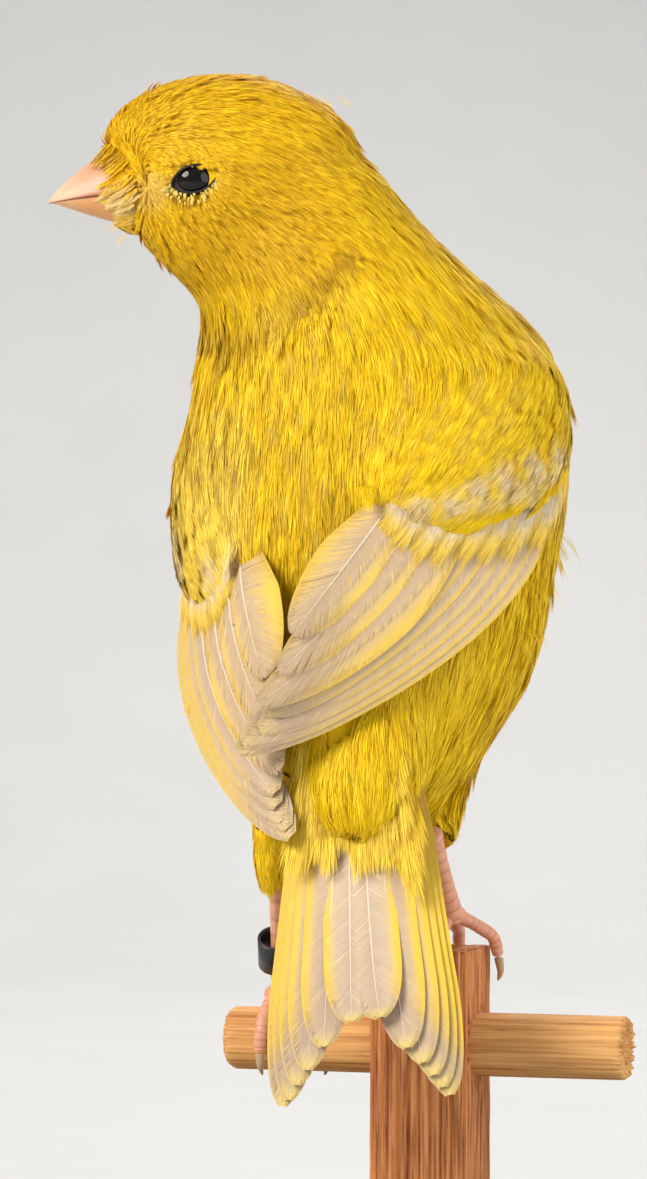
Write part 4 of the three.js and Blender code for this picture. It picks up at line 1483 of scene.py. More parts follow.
@dataclass(frozen=True)
class Comb:
    """Lie of the coat: away from the bill on the head, then down the body towards the root of the tail."""

    guides: tuple[tuple[Spot, Spot, float], ...] = (
        ((-38, -4, 117), (0.45, -0.1, 0.9), 4.0),
        ((-26, 0, 125), (1.0, 0.0, -0.05), 8.0),
        ((-12, 0, 118), (0.7, 0.0, -0.7), 6.0),
        ((-34, -9, 104), (0.75, 0.0, -0.62), 6.0),
        ((-24, -11, 101), (0.72, 0.0, -0.68), 8.0),
        ((-18, -11, 112), (0.9, 0.0, -0.42), 6.0),
        ((-36, -6, 98), (0.65, 0.1, -0.75), 6.0),
        ((-29, -10, 90), (0.3, 0.0, -0.95), 7.0),
        ((-4, -13, 97), (0.6, -0.1, -0.75), 7.0),
        ((12, -8, 86), (0.45, -0.2, -0.85), 8.0),
        ((-22, -14, 74), (-0.12, 0.0, -1.0), 10.0),
        ((0, -18, 72), (0.02, 0.0, -1.0), 10.0),
        ((12, -10, 40), (-0.3, -0.25, -0.9), 10.0),
        ((-10, -18, 36), (0.0, -0.1, -1.0), 9.0),
    )

    def flow(self, points: Array, normals: Array) -> Array:
        """Unit directions along the skin.

        Args:
            points: laid-out points on the skin.
            normals: laid-out normals there.

        Returns:
            Laid-out directions square to the normals.
        """
        head = (ramp(points[..., 2], 90, 102) * ramp(-points[..., 0], 0, 12))[..., None]
        away = unit(points - BILL_BASE)
        down = unit(0.5 * unit(TAIL_SINK - points) + np.array([0, -0.1, -0.8]))
        total = (away * head + down * (1 - head)) * 0.35
        side, high = np.sign(points[..., 1]), ramp(points[..., 2], 103, 111) * 2 - 1
        near_bill = ramp(-np.linalg.norm(points - BILL_BASE, axis=-1), -10.8, -7.2)
        part = 2.4 * near_bill * (1 - near_bill) * np.sign(points[..., 2] - BILL_BASE[2])
        forward = unit(np.stack([np.full(side.shape, -1.0), 0.25 * side, 0.5 * high + part], -1))
        for place, direction, size in self.guides:
            gap = points - np.array(place)
            mirrored = points * np.array([1, -1, 1]) - np.array(place)
            for offset, way in ((gap, direction), (mirrored, (direction[0], -direction[1], direction[2]))):
                if way is not direction and place[2] < 96:
                    continue
                weight = np.exp(-np.sum(offset**2, -1) / (2 * size**2))[..., None]
                total = total + weight * np.array(way)
        total = blend(total, forward, near_bill)
        from_eye = points[..., [0, 2]] - np.array(EYE)
        distance = np.linalg.norm(from_eye, axis=-1)
        spoke = np.stack([from_eye[..., 0], 0 * side, from_eye[..., 1]], -1)
        spoke = spoke / np.maximum(distance, 0.1)[..., None]
        close = ramp(-distance, -4.6, -2.4) * ramp(-from_eye[..., 1], -1.2, 0.4) * head[..., 0]
        total = blend(unit(total), spoke, 0.8 * close * ramp(np.abs(points[..., 1]), 5, 7))
        for wing in (RIGHT_WING, LEFT_WING):
            tip = on_body(np.array(wing.middles[1])) - np.array([0, 0, 6.0])
            total = blend(total, unit(tip - points) * 1.2, 0.9 * ramp(wing.arm_share(points), 0, 0.3)
                          * ramp(np.sign(to_body(points)[..., 0]) * wing.side, 0, 0.5))
        return unit(squared(total, normals))


@dataclass
class Skin:
    """One skin over the flesh, inside the solids by the coat's depth."""

    voxel: float = 0.75
    swell: float = 0.35
    turns: int = 4
    fills: tuple[tuple[Spot, Spot], ...] = (
        ((EYE[0], 8.25, EYE[1]), (3.7, 2.35, 3.2)), ((-35.6, 0.4, 107.9), (4.6, 4.7, 5.9)))
    obj: Piece | None = None

    def build(self, finish: Material) -> None:
        """Joins, remeshes and shrinks the flesh, then unwraps and paints it.

        Args:
            finish: the material.
        """
        bm = bmesh.new()
        for name in FLESH:
            part = bmesh.new()
            part.from_mesh(bpy.data.objects[name].data)
            bmesh.ops.remove_doubles(part, verts=part.verts, dist=0.01 * MM)
            part.normal_update()
            sent(part, [v.co + v.normal * self.swell * MM for v in part.verts])
            self.join(bm, part)
        for wing in (RIGHT_WING, LEFT_WING):
            arm = partial(wing.arm, grow=self.swell)
            self.join(bm, shaped_ball(48, 24, arm))
        for centre, radii in self.fills:
            for side in (-1, 1):
                egg = partial(self.fill, centre=np.array(centre) * (1, side, 1), radii=np.array(radii))
                self.join(bm, shaped_ball(40, 20, egg))
        rough = added("skin_rough", meshed(bm, "skin_rough"))
        remesh = rough.modifiers.new("even", "REMESH")
        remesh.mode = "VOXEL"
        remesh.voxel_size = self.voxel * MM
        even = bpy.data.meshes.new_from_object(rough.evaluated_get(bpy.context.evaluated_depsgraph_get()))
        bpy.data.objects.remove(rough)
        self.shrink(even)
        even.materials.clear()
        self.obj = dressed("skin", even, finish)
        self.unwrap()
        # painted shade: the skin is the plumage's colour darkened towards ochre, to show as shade in the
        # depth of the coat
        colours = MARKINGS.base(laid(self.points())) * 0.9
        painted(self.obj, blend(colours, Tone.OCHRE, np.full(len(colours), 0.25)))
        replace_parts(self.obj, *FLESH)

    @staticmethod
    def fill(share: Array, angle: Array, centre: Array, radii: Array) -> Array:
        """Laid-out points of an egg that closes a hollow of the flesh.

        Args:
            share: shares from pole to pole.
            angle: angles round it.
            centre: its middle.
            radii: its half sizes.

        Returns:
            Laid-out millimetres.
        """
        polar = math.pi * share
        ball = np.stack([np.sin(polar) * np.cos(angle), np.sin(polar) * np.sin(angle), -np.cos(polar)], -1)
        return centre + ball * radii

    @staticmethod
    def join(whole: Shape, part: Shape) -> None:
        """Adds one bmesh to another and frees it.

        Args:
            whole: the bmesh that grows.
            part: the bmesh added to it.
        """
        mesh = meshed(part, "part")
        whole.from_mesh(mesh)
        bpy.data.meshes.remove(mesh)

    def shrink(self, mesh: bpy.types.Mesh) -> None:
        """Keeps the largest shell, smooths it and draws it in by the coat's depth.

        Args:
            mesh: the remeshed flesh.
        """
        bm = bmesh.new()
        bm.from_mesh(mesh)
        axes = {"use_axis_x": True, "use_axis_y": True, "use_axis_z": True}
        for _ in range(self.turns):
            bmesh.ops.smooth_vert(bm, verts=bm.verts, factor=0.5, **axes)
        bm.normal_update()
        spots = placed(bm.verts)
        normals = np.array([v.normal[:] for v in bm.verts])
        gap = crease_gap(laid(spots))
        fold = 0.7 * ramp(-np.abs(gap + 1.2), -3.2, -0.4)
        rim = 0.2 * ramp(-np.linalg.norm(laid(spots) - BILL_BASE, axis=-1), -8.4, -6.4)
        depth = (coat_depth(laid(spots)) + self.swell + fold + rim) * MM
        sent(bm, spots - normals * depth[:, None])
        bmesh.ops.smooth_vert(bm, verts=bm.verts, factor=0.5, **axes)
        bm.to_mesh(mesh)
        bm.free()
        mesh.polygons.foreach_set("use_smooth", np.ones(len(mesh.polygons), bool))

    def unwrap(self) -> None:
        """Unwraps the skin's own shape into the bake map."""
        self.obj.data.uv_layers.new(name="OFBake")
        bpy.context.view_layer.objects.active = self.obj
        self.obj.select_set(True)
        bpy.ops.object.mode_set(mode="EDIT")
        bpy.ops.mesh.select_all(action="SELECT")
        bpy.ops.uv.smart_project(angle_limit=math.radians(60), island_margin=0.002)
        bpy.ops.object.mode_set(mode="OBJECT")
        self.obj.select_set(False)

    def points(self) -> Array:
        """The skin's vertices in metres.

        Returns:
            Points in metres of the row.
        """
        mesh = self.obj.data
        out = np.empty(len(mesh.vertices) * 3, np.float32)
        mesh.vertices.foreach_get("co", out)
        return out.reshape(-1, 3).astype(float)


PIECE_TRIANGLES = 190000
COAT_FINE = Weave(strands=46, sweep=0.6, loose=0.5, blade=0.072, roll=0.4, rise=0.28, mat=True,
                  web_grid=(3, 3), web_share=(0.8, 0.7), contrast=0.14, deep=0.24, bright=0.16)
COAT_SOFT = Weave(strands=112, sweep=0.55, loose=0.7, blade=0.1, roll=0.35, rise=0.38, mat=True,
                  web_grid=(4, 3), web_share=(0.8, 0.7), contrast=0.11)
COAT_SLEEK = replace(COAT_SOFT, loose=0.5, blade=0.13, roll=0.15, rise=0.2, relief=0.35, contrast=0.06,
                     deep=0.05)
COAT_WEAVES = {"coat_face": COAT_FINE, "coat_crown": COAT_FINE, "coat_arm_left": COAT_SLEEK,
               "coat_arm_right": COAT_SLEEK, "coat_belly": replace(COAT_SOFT, strands=84, blade=0.12)}


@dataclass
class Coat:
    """Body feathers rooted all over the skin."""

    skin: Skin
    comb: Comb = field(default_factory=Comb)
    seed: int = 20
    stations: int = 6
    candidates: int = 110000
    spacing: float = 0.2
    reach: float = 0.24

    def length_at(self, points: Array) -> Array:
        """Length of a feather in millimetres at laid-out points.

        Args:
            points: laid-out millimetres.

        Returns:
            Millimetres.
        """
        u, z = points[..., 0], points[..., 2]
        head = ramp(z, 88, 100) * ramp(-u, 0, 12)
        face = head * ramp(-u, 24, 38)
        length = 8.0 - 4.4 * head - 1.9 * face
        eye = np.hypot(u - EYE[0], z - EYE[1])
        length = length * (1 - 0.45 * head * ramp(-eye, -6, -3.2))
        thigh = ramp(-z, -30, -22)
        arm = np.maximum(RIGHT_WING.arm_share(points), LEFT_WING.arm_share(points))
        return length * (1 - 0.35 * thigh) * (1 - 0.3 * ramp(arm, 0, 0.4) * ramp(z, 48, 54))

    def roots(self, rng: np.random.Generator) -> tuple[Array, Array, Array]:
        """Spreads roots over the skin, closer where feathers are shorter.

        Args:
            rng: the random source.

        Returns:
            Points in metres, skin normals and bake places.
        """
        mesh = self.skin.obj.data
        mesh.calc_loop_triangles()
        n = len(mesh.loop_triangles)
        corners, loops = np.empty(n * 3, np.int32), np.empty(n * 3, np.int32)
        mesh.loop_triangles.foreach_get("vertices", corners)
        mesh.loop_triangles.foreach_get("loops", loops)
        co = self.skin.points()
        normals = np.empty(len(co) * 3, np.float32)
        mesh.vertices.foreach_get("normal", normals)
        normals = normals.reshape(-1, 3).astype(float)
        uv = np.empty(len(mesh.loops) * 2, np.float32)
        mesh.uv_layers["OFBake"].data.foreach_get("uv", uv)
        tri, places = co[corners.reshape(-1, 3)], uv.reshape(-1, 2)[loops.reshape(-1, 3)]
        area = np.linalg.norm(np.cross(tri[:, 1] - tri[:, 0], tri[:, 2] - tri[:, 0]), axis=1)
        weight = area / self.length_at(laid(tri.mean(1))) ** 2
        pick = rng.choice(n, self.candidates, p=weight / weight.sum())
        a, b = np.sqrt(rng.random(self.candidates)), rng.random(self.candidates)
        share = np.stack([1 - a, a * (1 - b), a * b], -1)[..., None]
        points = (tri[pick] * share).sum(1)
        facing = unit((normals[corners.reshape(-1, 3)[pick]] * share).sum(1))
        place = (places[pick] * share).sum(1)
        keep = self.allowed(laid(points), facing)
        points, facing, place = points[keep], facing[keep], place[keep]
        gap = self.length_at(laid(points)) * self.spacing * MM
        tree = KDTree(len(points))
        for i, spot in enumerate(points):
            tree.insert(spot, i)
        tree.balance()
        taken = np.zeros(len(points), bool)
        chosen = []
        for i, spot in enumerate(points):
            if taken[i]:
                continue
            chosen.append(i)
            for _, j, _ in tree.find_range(spot, gap[i]):
                taken[j] = True
        return points[chosen], facing[chosen], place[chosen]

    @staticmethod
    def ruff(points: Array) -> Array:
        """Extra height of the tips, where the cheek's feathers stand over the crease, in millimetres.

        Args:
            points: laid-out millimetres.

        Returns:
            Millimetres.
        """
        gap = crease_gap(points)
        brow = ramp(-np.linalg.norm(points - np.array((-38.5, 0.0, 114.5)), axis=-1), -5.0, -1.5)
        return 0.32 * ramp(gap, 0.3, 1.8) * ramp(-gap, -6.5, -3.5) + 0.25 * brow

    def allowed(self, points: Array, facing: Array) -> Array:
        """Where feathers may root: off the eyes, the bill's socket and the wing's bed.

        Args:
            points: laid-out millimetres.
            facing: normals at the roots.

        Returns:
            Whether one may root at each point.
        """
        u, d, z = points[..., 0], points[..., 1], points[..., 2]
        along, above = Eyes().local(u, z)
        eye = (along / 3.2) ** 2 + (above / np.where(above > 0, 1.8, 2.2)) ** 2 < 1
        bill = (u < -36.5) & (np.hypot(d / 4.3, (z - 107.9) / 5.1) < 1)
        arm = np.maximum(RIGHT_WING.arm_share(points), LEFT_WING.arm_share(points)) > 0.01
        hang = (arm & (z > 48)) | ((to_body(points)[..., 1] < -13) & (z < 34))
        return ~(eye & (np.abs(d) > 6)) & ~bill & ~(hang & (facing[..., 2] < -0.35))

    @staticmethod
    def sheets() -> tuple[Array, Array, Array, Array]:
        """The faces over both folded wings that the coat runs on to.

        Returns:
            Points in metres, faces, normals and how far along the wing each face lies.
        """
        spots, quads, normals, reach = [], [], [], []
        rows, columns = 24, 40
        for k, wing in enumerate((RIGHT_WING, LEFT_WING)):
            share, along = np.linspace(-0.06, 1.2, rows), np.linspace(-0.06, 1, columns)
            share, along = np.meshgrid(share, along, indexing="ij")
            eps = 0.01
            ahead = wing.surface(share, along + eps) - wing.surface(share, along - eps)
            step = wing.surface(share + eps, along) - wing.surface(share - eps, along)
            out = unit(np.cross(step, ahead)) * wing.side
            inner = ramp(share, 0.55, 0.85)
            lift = 1.3 + 1.5 * ramp(-along, -0.45, -0.2) * (1 - inner)
            lift = lift * (1 - inner * ramp(-along, -0.12, 0.04))
            faces = grid_quads(rows, columns)
            spots.append(seen(wing.surface(share, along) + out * lift[..., None]).reshape(-1, 3))
            quads.append(faces + k * rows * columns)
            turned = unit(heading(out)).reshape(-1, 3)
            normals.append(unit(turned[faces].mean(1)))
            reach.append(along.ravel()[faces].mean(1))
        return tuple(np.concatenate(part) for part in (spots, quads, normals, reach))

    def march(self, tree: BVHTree, smooth: Array, roots: Array, facing: Array, length: Array) -> Shafts:
        """Walks each shaft along the skin with the lie of the coat.

        Args:
            tree: the skin's faces.
            smooth: a soft normal for each face.
            roots: metres.
            facing: normals at the roots.
            length: millimetres.

        Returns:
            Frames along every shaft.
        """
        turn = heading(np.eye(3)) / MM
        place, out, ahead = roots.copy(), facing.copy(), 0.0
        rows = []
        step = (length * MM / (self.stations - 1))[:, None]
        for _ in range(self.stations):
            local = out @ turn.T
            ahead = unit(self.comb.flow(laid(place), local) @ turn + 0.5 * ahead)
            ahead = unit(squared(ahead, out))
            rows.append((place.copy(), ahead, np.cross(ahead, out), out.copy()))
            goal = place + ahead * step
            hits = [tree.find_nearest(Vector(spot)) for spot in goal]
            near = np.array([hit[0][:] for hit in hits])
            face = np.array([hit[2] for hit in hits])
            place = near
            out = unit(out * 0.4 + smooth[face] * 0.6)
        return Shafts(*(np.stack([row[i] for row in rows], 1) for i in range(4)))

    def build(self, finish: Material) -> None:
        """Makes the coat in pieces by region.

        Args:
            finish: the material.
        """
        rng = np.random.default_rng(self.seed)
        roots, facing, places = self.roots(rng)
        mesh = self.skin.obj.data
        normals = np.array([v.normal[:] for v in mesh.vertices])
        smooth = unit(np.array([normals[list(p.vertices)].mean(0) for p in mesh.polygons]))
        flesh, faces = [v.co[:] for v in mesh.vertices], [tuple(p.vertices) for p in mesh.polygons]
        tree = BVHTree.FromPolygons(flesh, faces)
        spots, quads, upward, reach = self.sheets()
        sheet = BVHTree.FromPolygons(spots.tolist(), quads.tolist())
        both = BVHTree.FromPolygons(flesh + spots.tolist(), faces + (quads + len(flesh)).tolist())
        points = laid(roots)
        length = self.length_at(points) * rng.uniform(0.85, 1.15, len(points))
        shafts = self.march(tree, smooth, roots, facing, length)
        under = self.covered(sheet, shafts)
        over = self.overhangs(points) & ~under[:, 0]
        upper = np.concatenate([smooth, upward])
        laid_over = self.march(both, upper, roots[over], facing[over], length[over])
        self.settle(laid_over)
        for own, other in zip(shafts.parts(), laid_over.parts()):
            own[over] = other
        ends = [sheet.find_nearest(Vector(spot)) for spot in shafts.place[:, -1]]
        beyond = np.array([hit[3] < 0.0004 and reach[hit[2]] > self.reach for hit in ends])
        keep = np.where(over, ~beyond, under.sum(1) < 2)
        shafts = shafts.pick(keep)
        roots, points, places, length = roots[keep], points[keep], places[keep], length[keep]
        LOG.info("coat: %d feathers", len(points))
        zone = self.zones(points)
        for name in sorted(set(zone)):
            weave = COAT_WEAVES.get(name, COAT_SOFT)
            rows = np.flatnonzero(zone == name)
            parts = math.ceil(len(rows) * weave.triangles / PIECE_TRIANGLES)
            for k, chunk in enumerate(np.array_split(rows, parts), 1):
                mask = np.zeros(len(points), bool)
                mask[chunk] = True
                part = name if parts == 1 else f"{name}_{k}"
                self.patch(part, mask, shafts, length, points, places, weave, rng, finish)

    @staticmethod
    def overhangs(points: Array) -> Array:
        """Which feathers may run on over a wing, by their laid-out roots.

        Args:
            points: laid-out millimetres.

        Returns:
            Whether each may.
        """
        own = to_body(points)
        above = np.zeros(len(points), bool)
        for wing in (RIGHT_WING, LEFT_WING):
            near = np.linalg.norm(points - wing.surface(0.5, 0.1), axis=-1) < 34
            above |= near & (own[:, 0] * wing.side > 1) & (own[:, 2] > wing.arm_height - 13)
        return above

    def covered(self, sheet: BVHTree, shafts: Shafts) -> Array:
        """Where a wing lies over the shafts, feathers x stations.

        Args:
            sheet: the faces over the wings.
            shafts: the feathers' frames.

        Returns:
            Whether each station is covered.
        """
        hidden = np.zeros(shafts.place.shape[:2], bool)
        for i, (spots, outs) in enumerate(zip(shafts.place, shafts.out)):
            for k in range(self.stations):
                hit = sheet.ray_cast(Vector(spots[k]), Vector(outs[k]), 0.008)
                hidden[i, k] = hit[0] is not None and hit[3] > 0.0002
        return hidden

    @staticmethod
    def settle(shafts: Shafts) -> None:
        """Draws shafts taut where they bridge a hollow, and turns their frames to match.

        Args:
            shafts: the feathers' frames.
        """
        place = shafts.place
        for _ in range(14):
            middle = (place[:, :-2] + place[:, 2:]) / 2 - place[:, 1:-1]
            sag = np.maximum(np.sum(middle * shafts.out[:, 1:-1], -1, keepdims=True), 0)
            place[:, 1:-1] += shafts.out[:, 1:-1] * sag
        shafts.ahead[:] = unit(np.gradient(place, axis=1))
        shafts.across[:] = unit(np.cross(shafts.ahead, shafts.out))
        shafts.out[:] = unit(np.cross(shafts.across, shafts.ahead))

    def zones(self, points: Array) -> Array:
        """Names the piece that each feather belongs to.

        Args:
            points: laid-out millimetres.

        Returns:
            A name for each feather.
        """
        own = to_body(points)
        u, z = points[..., 0], points[..., 2]
        zone = np.full(len(points), "coat_back", object)
        front = own[..., 1] > 0
        zone[(z > 58) & ~front] = "coat_mantle"
        zone[front & (z > 60)] = "coat_breast"
        zone[front & (z <= 60)] = "coat_belly"
        zone[(own[..., 0] > 8) & (z < 52) & ~front] = "coat_flank"
        zone[(z > 86)] = "coat_nape"
        head = (z > 96) & (u < -2)
        zone[head] = "coat_crown"
        zone[head & (u < -22)] = "coat_face"
        zone[(z < 28) & ((u < -14) | (u > -3))] = "coat_thigh"
        for wing in (RIGHT_WING, LEFT_WING):
            side = np.sign(own[..., 0]) == wing.side
            arm = side & (wing.arm_share(points) > 0.02) & (z > 50) & (z < 90)
            zone[arm] = wing.name.replace("wing", "coat_arm")
        return zone

    def patch(self, name: str, mask: Array, shafts: Shafts, length: Array, points: Array, places: Array,
              weave: Weave, rng: np.random.Generator, finish: Material) -> None:
        """Makes one piece of the coat.

        Args:
            name: the piece's name.
            mask: which feathers belong to it.
            shafts: the feathers' frames.
            length: lengths in millimetres.
            points: laid-out millimetres.
            places: bake places.
            weave: how the strands lie.
            rng: the random source.
            finish: the material.
        """
        part = shafts.pick(mask)
        n = int(mask.sum())
        depth = coat_depth(points[mask])
        ruff = self.ruff(points[mask])
        fluff = np.where(rng.random(n) < 0.04, rng.uniform(0.2, 0.8, n), 0.0)
        height = np.stack([0.45 * depth, depth * rng.uniform(0.85, 1.08, n) + ruff + fluff], -1) * MM
        width = length[mask] * 0.21 * rng.uniform(0.85, 1.15, n) * MM
        tips = laid(part.place[:, -2])
        base = np.stack([MARKINGS.base(laid(part.place[:, k])) for k in range(self.stations)], 1)
        base = 0.6 * base + 0.4 * MARKINGS.base(tips)[:, None]
        streak = MARKINGS.streak(tips) * rng.uniform(0.6, 1, n)
        tone = rng.normal(1, 0.02, n)
        rows = np.arange(n)[:, None]

        def paint(share: Array, side: Array) -> Array:
            """Colour at shares of the length and places across."""
            at = np.clip(share, 0, 0.999) * (self.stations - 1)
            low = at.astype(int)
            colour = blend(base[rows, low], base[rows, low + 1], at - low)
            dark = streak[:, None] * ramp(-np.abs(side), -0.75, -0.1) * ramp(share, 0.3, 0.5)
            colour = blend(colour, Tone.STREAK, 0.5 * dark)
            # painted shade: ochre towards the root and a lighter end, so the gaps between feathers look
            # shaded
            colour = blend(colour, Tone.OCHRE, 0.25 * ramp(-share, -0.4, -0.05))
            return colour * (tone[:, None] * (0.94 + 0.1 * ramp(share, 0.4, 1)))[..., None]

        plumes = Plumes(part, length[mask], width, width, height, paint, places[mask], weave, rng)
        plumes.piece(name, finish)


# Head details

@dataclass
class Bill:
    """Conical bill in two halves along the line of the mouth."""

    stations: tuple[tuple[float, float, float, float], ...] = (
        (-35, 110, 105, 2), (-37, 112.8, 103.0, 4.1), (-39.6, 112.4, 103.2, 3.95),
        (-41.9, 111.25, 103.8, 3.3), (-44.2, 109.6, 104.5, 2.4), (-46.0, 108.1, 105.1, 1.55),
        (-47.3, 106.8, 105.5, 0.8), (-48.0, 105.85, 105.5, 0.15))
    gape: Pair = (-47.95, 105.56)
    lean: float = math.radians(6.7)
    nostril: Pair = (-40.6, 109.9)

    def half(self, upper: bool) -> Shape:
        """One half of the bill, its meeting face turned in a little along the mouth.

        Args:
            upper: whether it is the upper half.

        Returns:
            The closed shape.
        """
        def place(share: Array, angle: Array) -> Array:
            """Points of the shape."""
            row = spread(self.stations, share)
            u, high, low, width = (row[:, i] for i in range(4))
            mouth = np.clip(self.gape[1] + (u - self.gape[0]) * math.tan(self.lean), low, high)
            outer = high if upper else low
            x, y = np.cos(angle), np.sin(angle)
            ends = np.where((share < 1e-4) | (share > 1 - 1e-4), 0.0, 1.0)
            inner = np.minimum(y, 0) * 0.1 * np.minimum(width, 1.0)
            rise = (outer - mouth) * np.maximum(y, 0) ** 0.9
            z = mouth + (rise - np.sign(outer - mouth + 1e-9) * inner) * ends
            swell = (1 - 0.12 * np.maximum(y, 0)) * (1.03 if upper else 0.95)
            side = x * width * ends * swell
            if upper:
                hole = np.exp(-(((u - self.nostril[0]) / 0.6) ** 2 + ((z - self.nostril[1]) / 0.38) ** 2))
                side = side - np.sign(side) * 0.45 * hole
            return np.stack([u, side, z], -1)
        return shaped_ball(80, 84, place)

    def paint(self, obj: Piece, upper: bool) -> None:
        """Paints pink horn, paler at the tip and warmer along the mouth, with painted shade in a thin dark
        line where the halves meet and in the nostril.

        Args:
            obj: the piece.
            upper: whether it is the upper half.
        """
        points = laid(placed(obj.data.vertices))
        u, z = points[:, 0], points[:, 2]
        mouth = self.gape[1] + (u - self.gape[0]) * math.tan(self.lean)
        base = (0.70, 0.34, 0.20) if upper else (0.70, 0.33, 0.12)
        tip = (0.80, 0.52, 0.34) if upper else (0.76, 0.46, 0.22)
        colour = blend(tint(base, u), tip, ramp(-u, 42, 47.5))
        colour = blend(colour, (0.72, 0.34, 0.20), 0.4 * ramp(-np.abs(z - mouth), -0.9, -0.1))
        # painted shade: a thin dark line where the two halves meet
        colour = blend(colour, (0.42, 0.16, 0.07), 0.6 * ramp(-np.abs(z - mouth), -0.12, -0.03))
        colour = blend(colour, (0.76, 0.42, 0.30), 0.5 * ramp(z, 109, 112) * upper)
        # painted shade: the nostril's hollow painted dark
        hole = np.exp(-(((u - self.nostril[0]) / 0.5) ** 2 + ((z - self.nostril[1]) / 0.32) ** 2))
        painted(obj, blend(colour, (0.12, 0.04, 0.025), 0.9 * hole * upper))

    def build(self, finish: Material) -> None:
        """Makes both halves and lets them stand for the solid ones.

        Args:
            finish: the material.
        """
        for upper in (True, False):
            name = "bill_upper" if upper else "bill_lower"
            piece = finished(self.half(upper), f"{name}_horn", finish)
            self.paint(piece, upper)
            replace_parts(piece, name)


@dataclass(frozen=True)
class BillTufts:
    """Small tufts that lie forward over the base of the bill, and pale bristles by the mouth."""

    bill: Bill = field(default_factory=Bill)
    count: int = 1000
    stations: int = 7
    seed: int = 31

    def build(self, finish: Material) -> None:
        """Makes the tufts in one piece.

        Args:
            finish: the material.
        """
        rng = np.random.default_rng(self.seed)
        n = self.count
        angle = rng.uniform(-math.pi, math.pi, n)
        high, low = np.maximum(np.sin(angle), 0), np.maximum(-np.sin(angle), 0)
        back = rng.uniform(0, 1, n) ** 1.2 * 4.2
        tip = -41.3 - 0.8 * high**2 + 1.9 * low**2 + 0.5 * np.sin(5 * angle) + rng.normal(0, 0.35, n) + back
        length = rng.uniform(2.2, 3.6, n)
        s = np.linspace(0, 1, self.stations)[None]
        u = tip[:, None] + length[:, None] * (1 - s)
        turn = angle[:, None] - 0.32 * np.sign(np.cos(angle))[:, None] * (s - 0.5)
        stand = rng.uniform(0, 1, n) ** 3 * (0.35 + 0.9 * high**2)
        off = (0.75 + 0.7 * high + 0.22 * back)[:, None] * (1 - s) ** 1.2
        off = off + 0.12 + 0.22 * back[:, None] + stand[:, None] * s**2
        row = spread(np.array(self.bill.stations), np.linspace(0, 1, 60))
        top, bottom, wide = (np.interp(-u, -row[:, 0], row[:, i]) for i in (1, 2, 3))
        high_side, low_side = np.sin(turn), np.cos(turn)
        half = (top - bottom) / 2
        spot = np.stack([u, (wide + off) * low_side, (top + bottom) / 2 + (half + off) * high_side], -1)
        slope = [-0.4 + 0 * u, low_side / np.maximum(wide, 0.5), high_side / np.maximum(half, 0.5)]
        out = unit(np.stack(slope, -1))
        shafts = Shafts.along(seen(spot), heading(out))
        mouth = ramp(-np.abs(np.sin(angle) + 0.45), -0.5, -0.1)
        base = blend(tint(Tone.GOLD, angle), Tone.YELLOW, 0.6 * high)
        base = blend(base, Tone.PALE, 0.35 * low)
        base = blend(base, (0.80, 0.62, 0.30), 0.7 * mouth * (rng.random(n) < 0.7))
        tone = rng.normal(1, 0.06, (n, 1, 1))

        def paint(share: Array, side: Array) -> Array:
            """Colour at shares of the length and places across."""
            colour = np.broadcast_to(base[:, None], (*share.shape, 3))
            # painted shade: ochre towards the root, where the tufts lie under one another
            colour = blend(colour, Tone.OCHRE, 0.2 * ramp(-share, -0.55, -0.1))
            return blend(colour, (0.92, 0.78, 0.42), 0.35 * ramp(share, 0.75, 1)) * tone

        width = rng.uniform(0.3, 0.5, n) * MM
        places = np.stack([0.03 + 0.94 * rng.random(n), np.full(n, 0.97)], -1)
        weave = Weave(strands=34, sweep=0.5, tip_round=0.6, loose=0.5, blade=0.07, roll=0.4, rise=0.16,
                      mat=True, web_grid=(3, 3), web_share=(0.7, 0.6), contrast=0.1, deep=0.15, bright=0.16)
        plumes = Plumes(shafts, length, width, width, np.zeros((n, 2)), paint, places, weave, rng)
        plumes.piece("bill_tufts", finish)


@dataclass(frozen=True)
class HeelFeathers:
    """Soft feathers that hang from a thigh round the top of its shank, like a sleeve."""

    centre: Spot
    radii: Pair = (2.3, 2.6)
    drop: float = 8.5
    count: int = 90
    seed: int = 23

    def build(self, name: str, finish: Material) -> None:
        """Makes the sleeve in one piece.

        Args:
            name: the piece's name.
            finish: the material.
        """
        rng = np.random.default_rng(self.seed)
        n = self.count
        angle = rng.uniform(-math.pi, math.pi, n)[:, None]
        first = rng.uniform(0, 0.45, n)[:, None]
        length = rng.uniform(4.2, 5.6, n)
        s = np.linspace(0, 1, 6)[None]
        fall = first * self.drop + length[:, None] * s
        narrow = 1 - 0.5 * ramp(fall, 0.35 * self.drop, 1.25 * self.drop)
        forward = self.radii[1] * narrow * np.sin(angle) + 0.35 * fall
        spot = np.stack([self.radii[0] * narrow * np.cos(angle), forward, -fall], -1) + np.array(self.centre)
        around = np.stack([np.cos(angle) + 0 * s, np.sin(angle) + 0 * s, 0 * fall], -1)
        shafts = Shafts.along(seen(spot), heading(around))
        tone = rng.normal(1, 0.03, (n, 1, 1))

        def paint(share: Array, side: Array) -> Array:
            """Colour at shares of the length and places across."""
            colour = tint(Tone.YELLOW, share)
            return blend(colour, Tone.GOLD, 0.5 * ramp(-share, -0.5, -0.1)) * tone

        width = rng.uniform(0.8, 1.2, n) * MM
        places = np.stack([0.05 + 0.9 * rng.random(n), np.full(n, 0.93)], -1)
        weave = Weave(strands=90, sweep=0.5, loose=0.6, blade=0.09, roll=0.3, rise=0.3, mat=True,
                      web_grid=(4, 3), web_share=(0.8, 0.7))
        plumes = Plumes(shafts, length, width, width, np.zeros((n, 2)), paint, places, weave, rng)
        plumes.piece(name, finish)


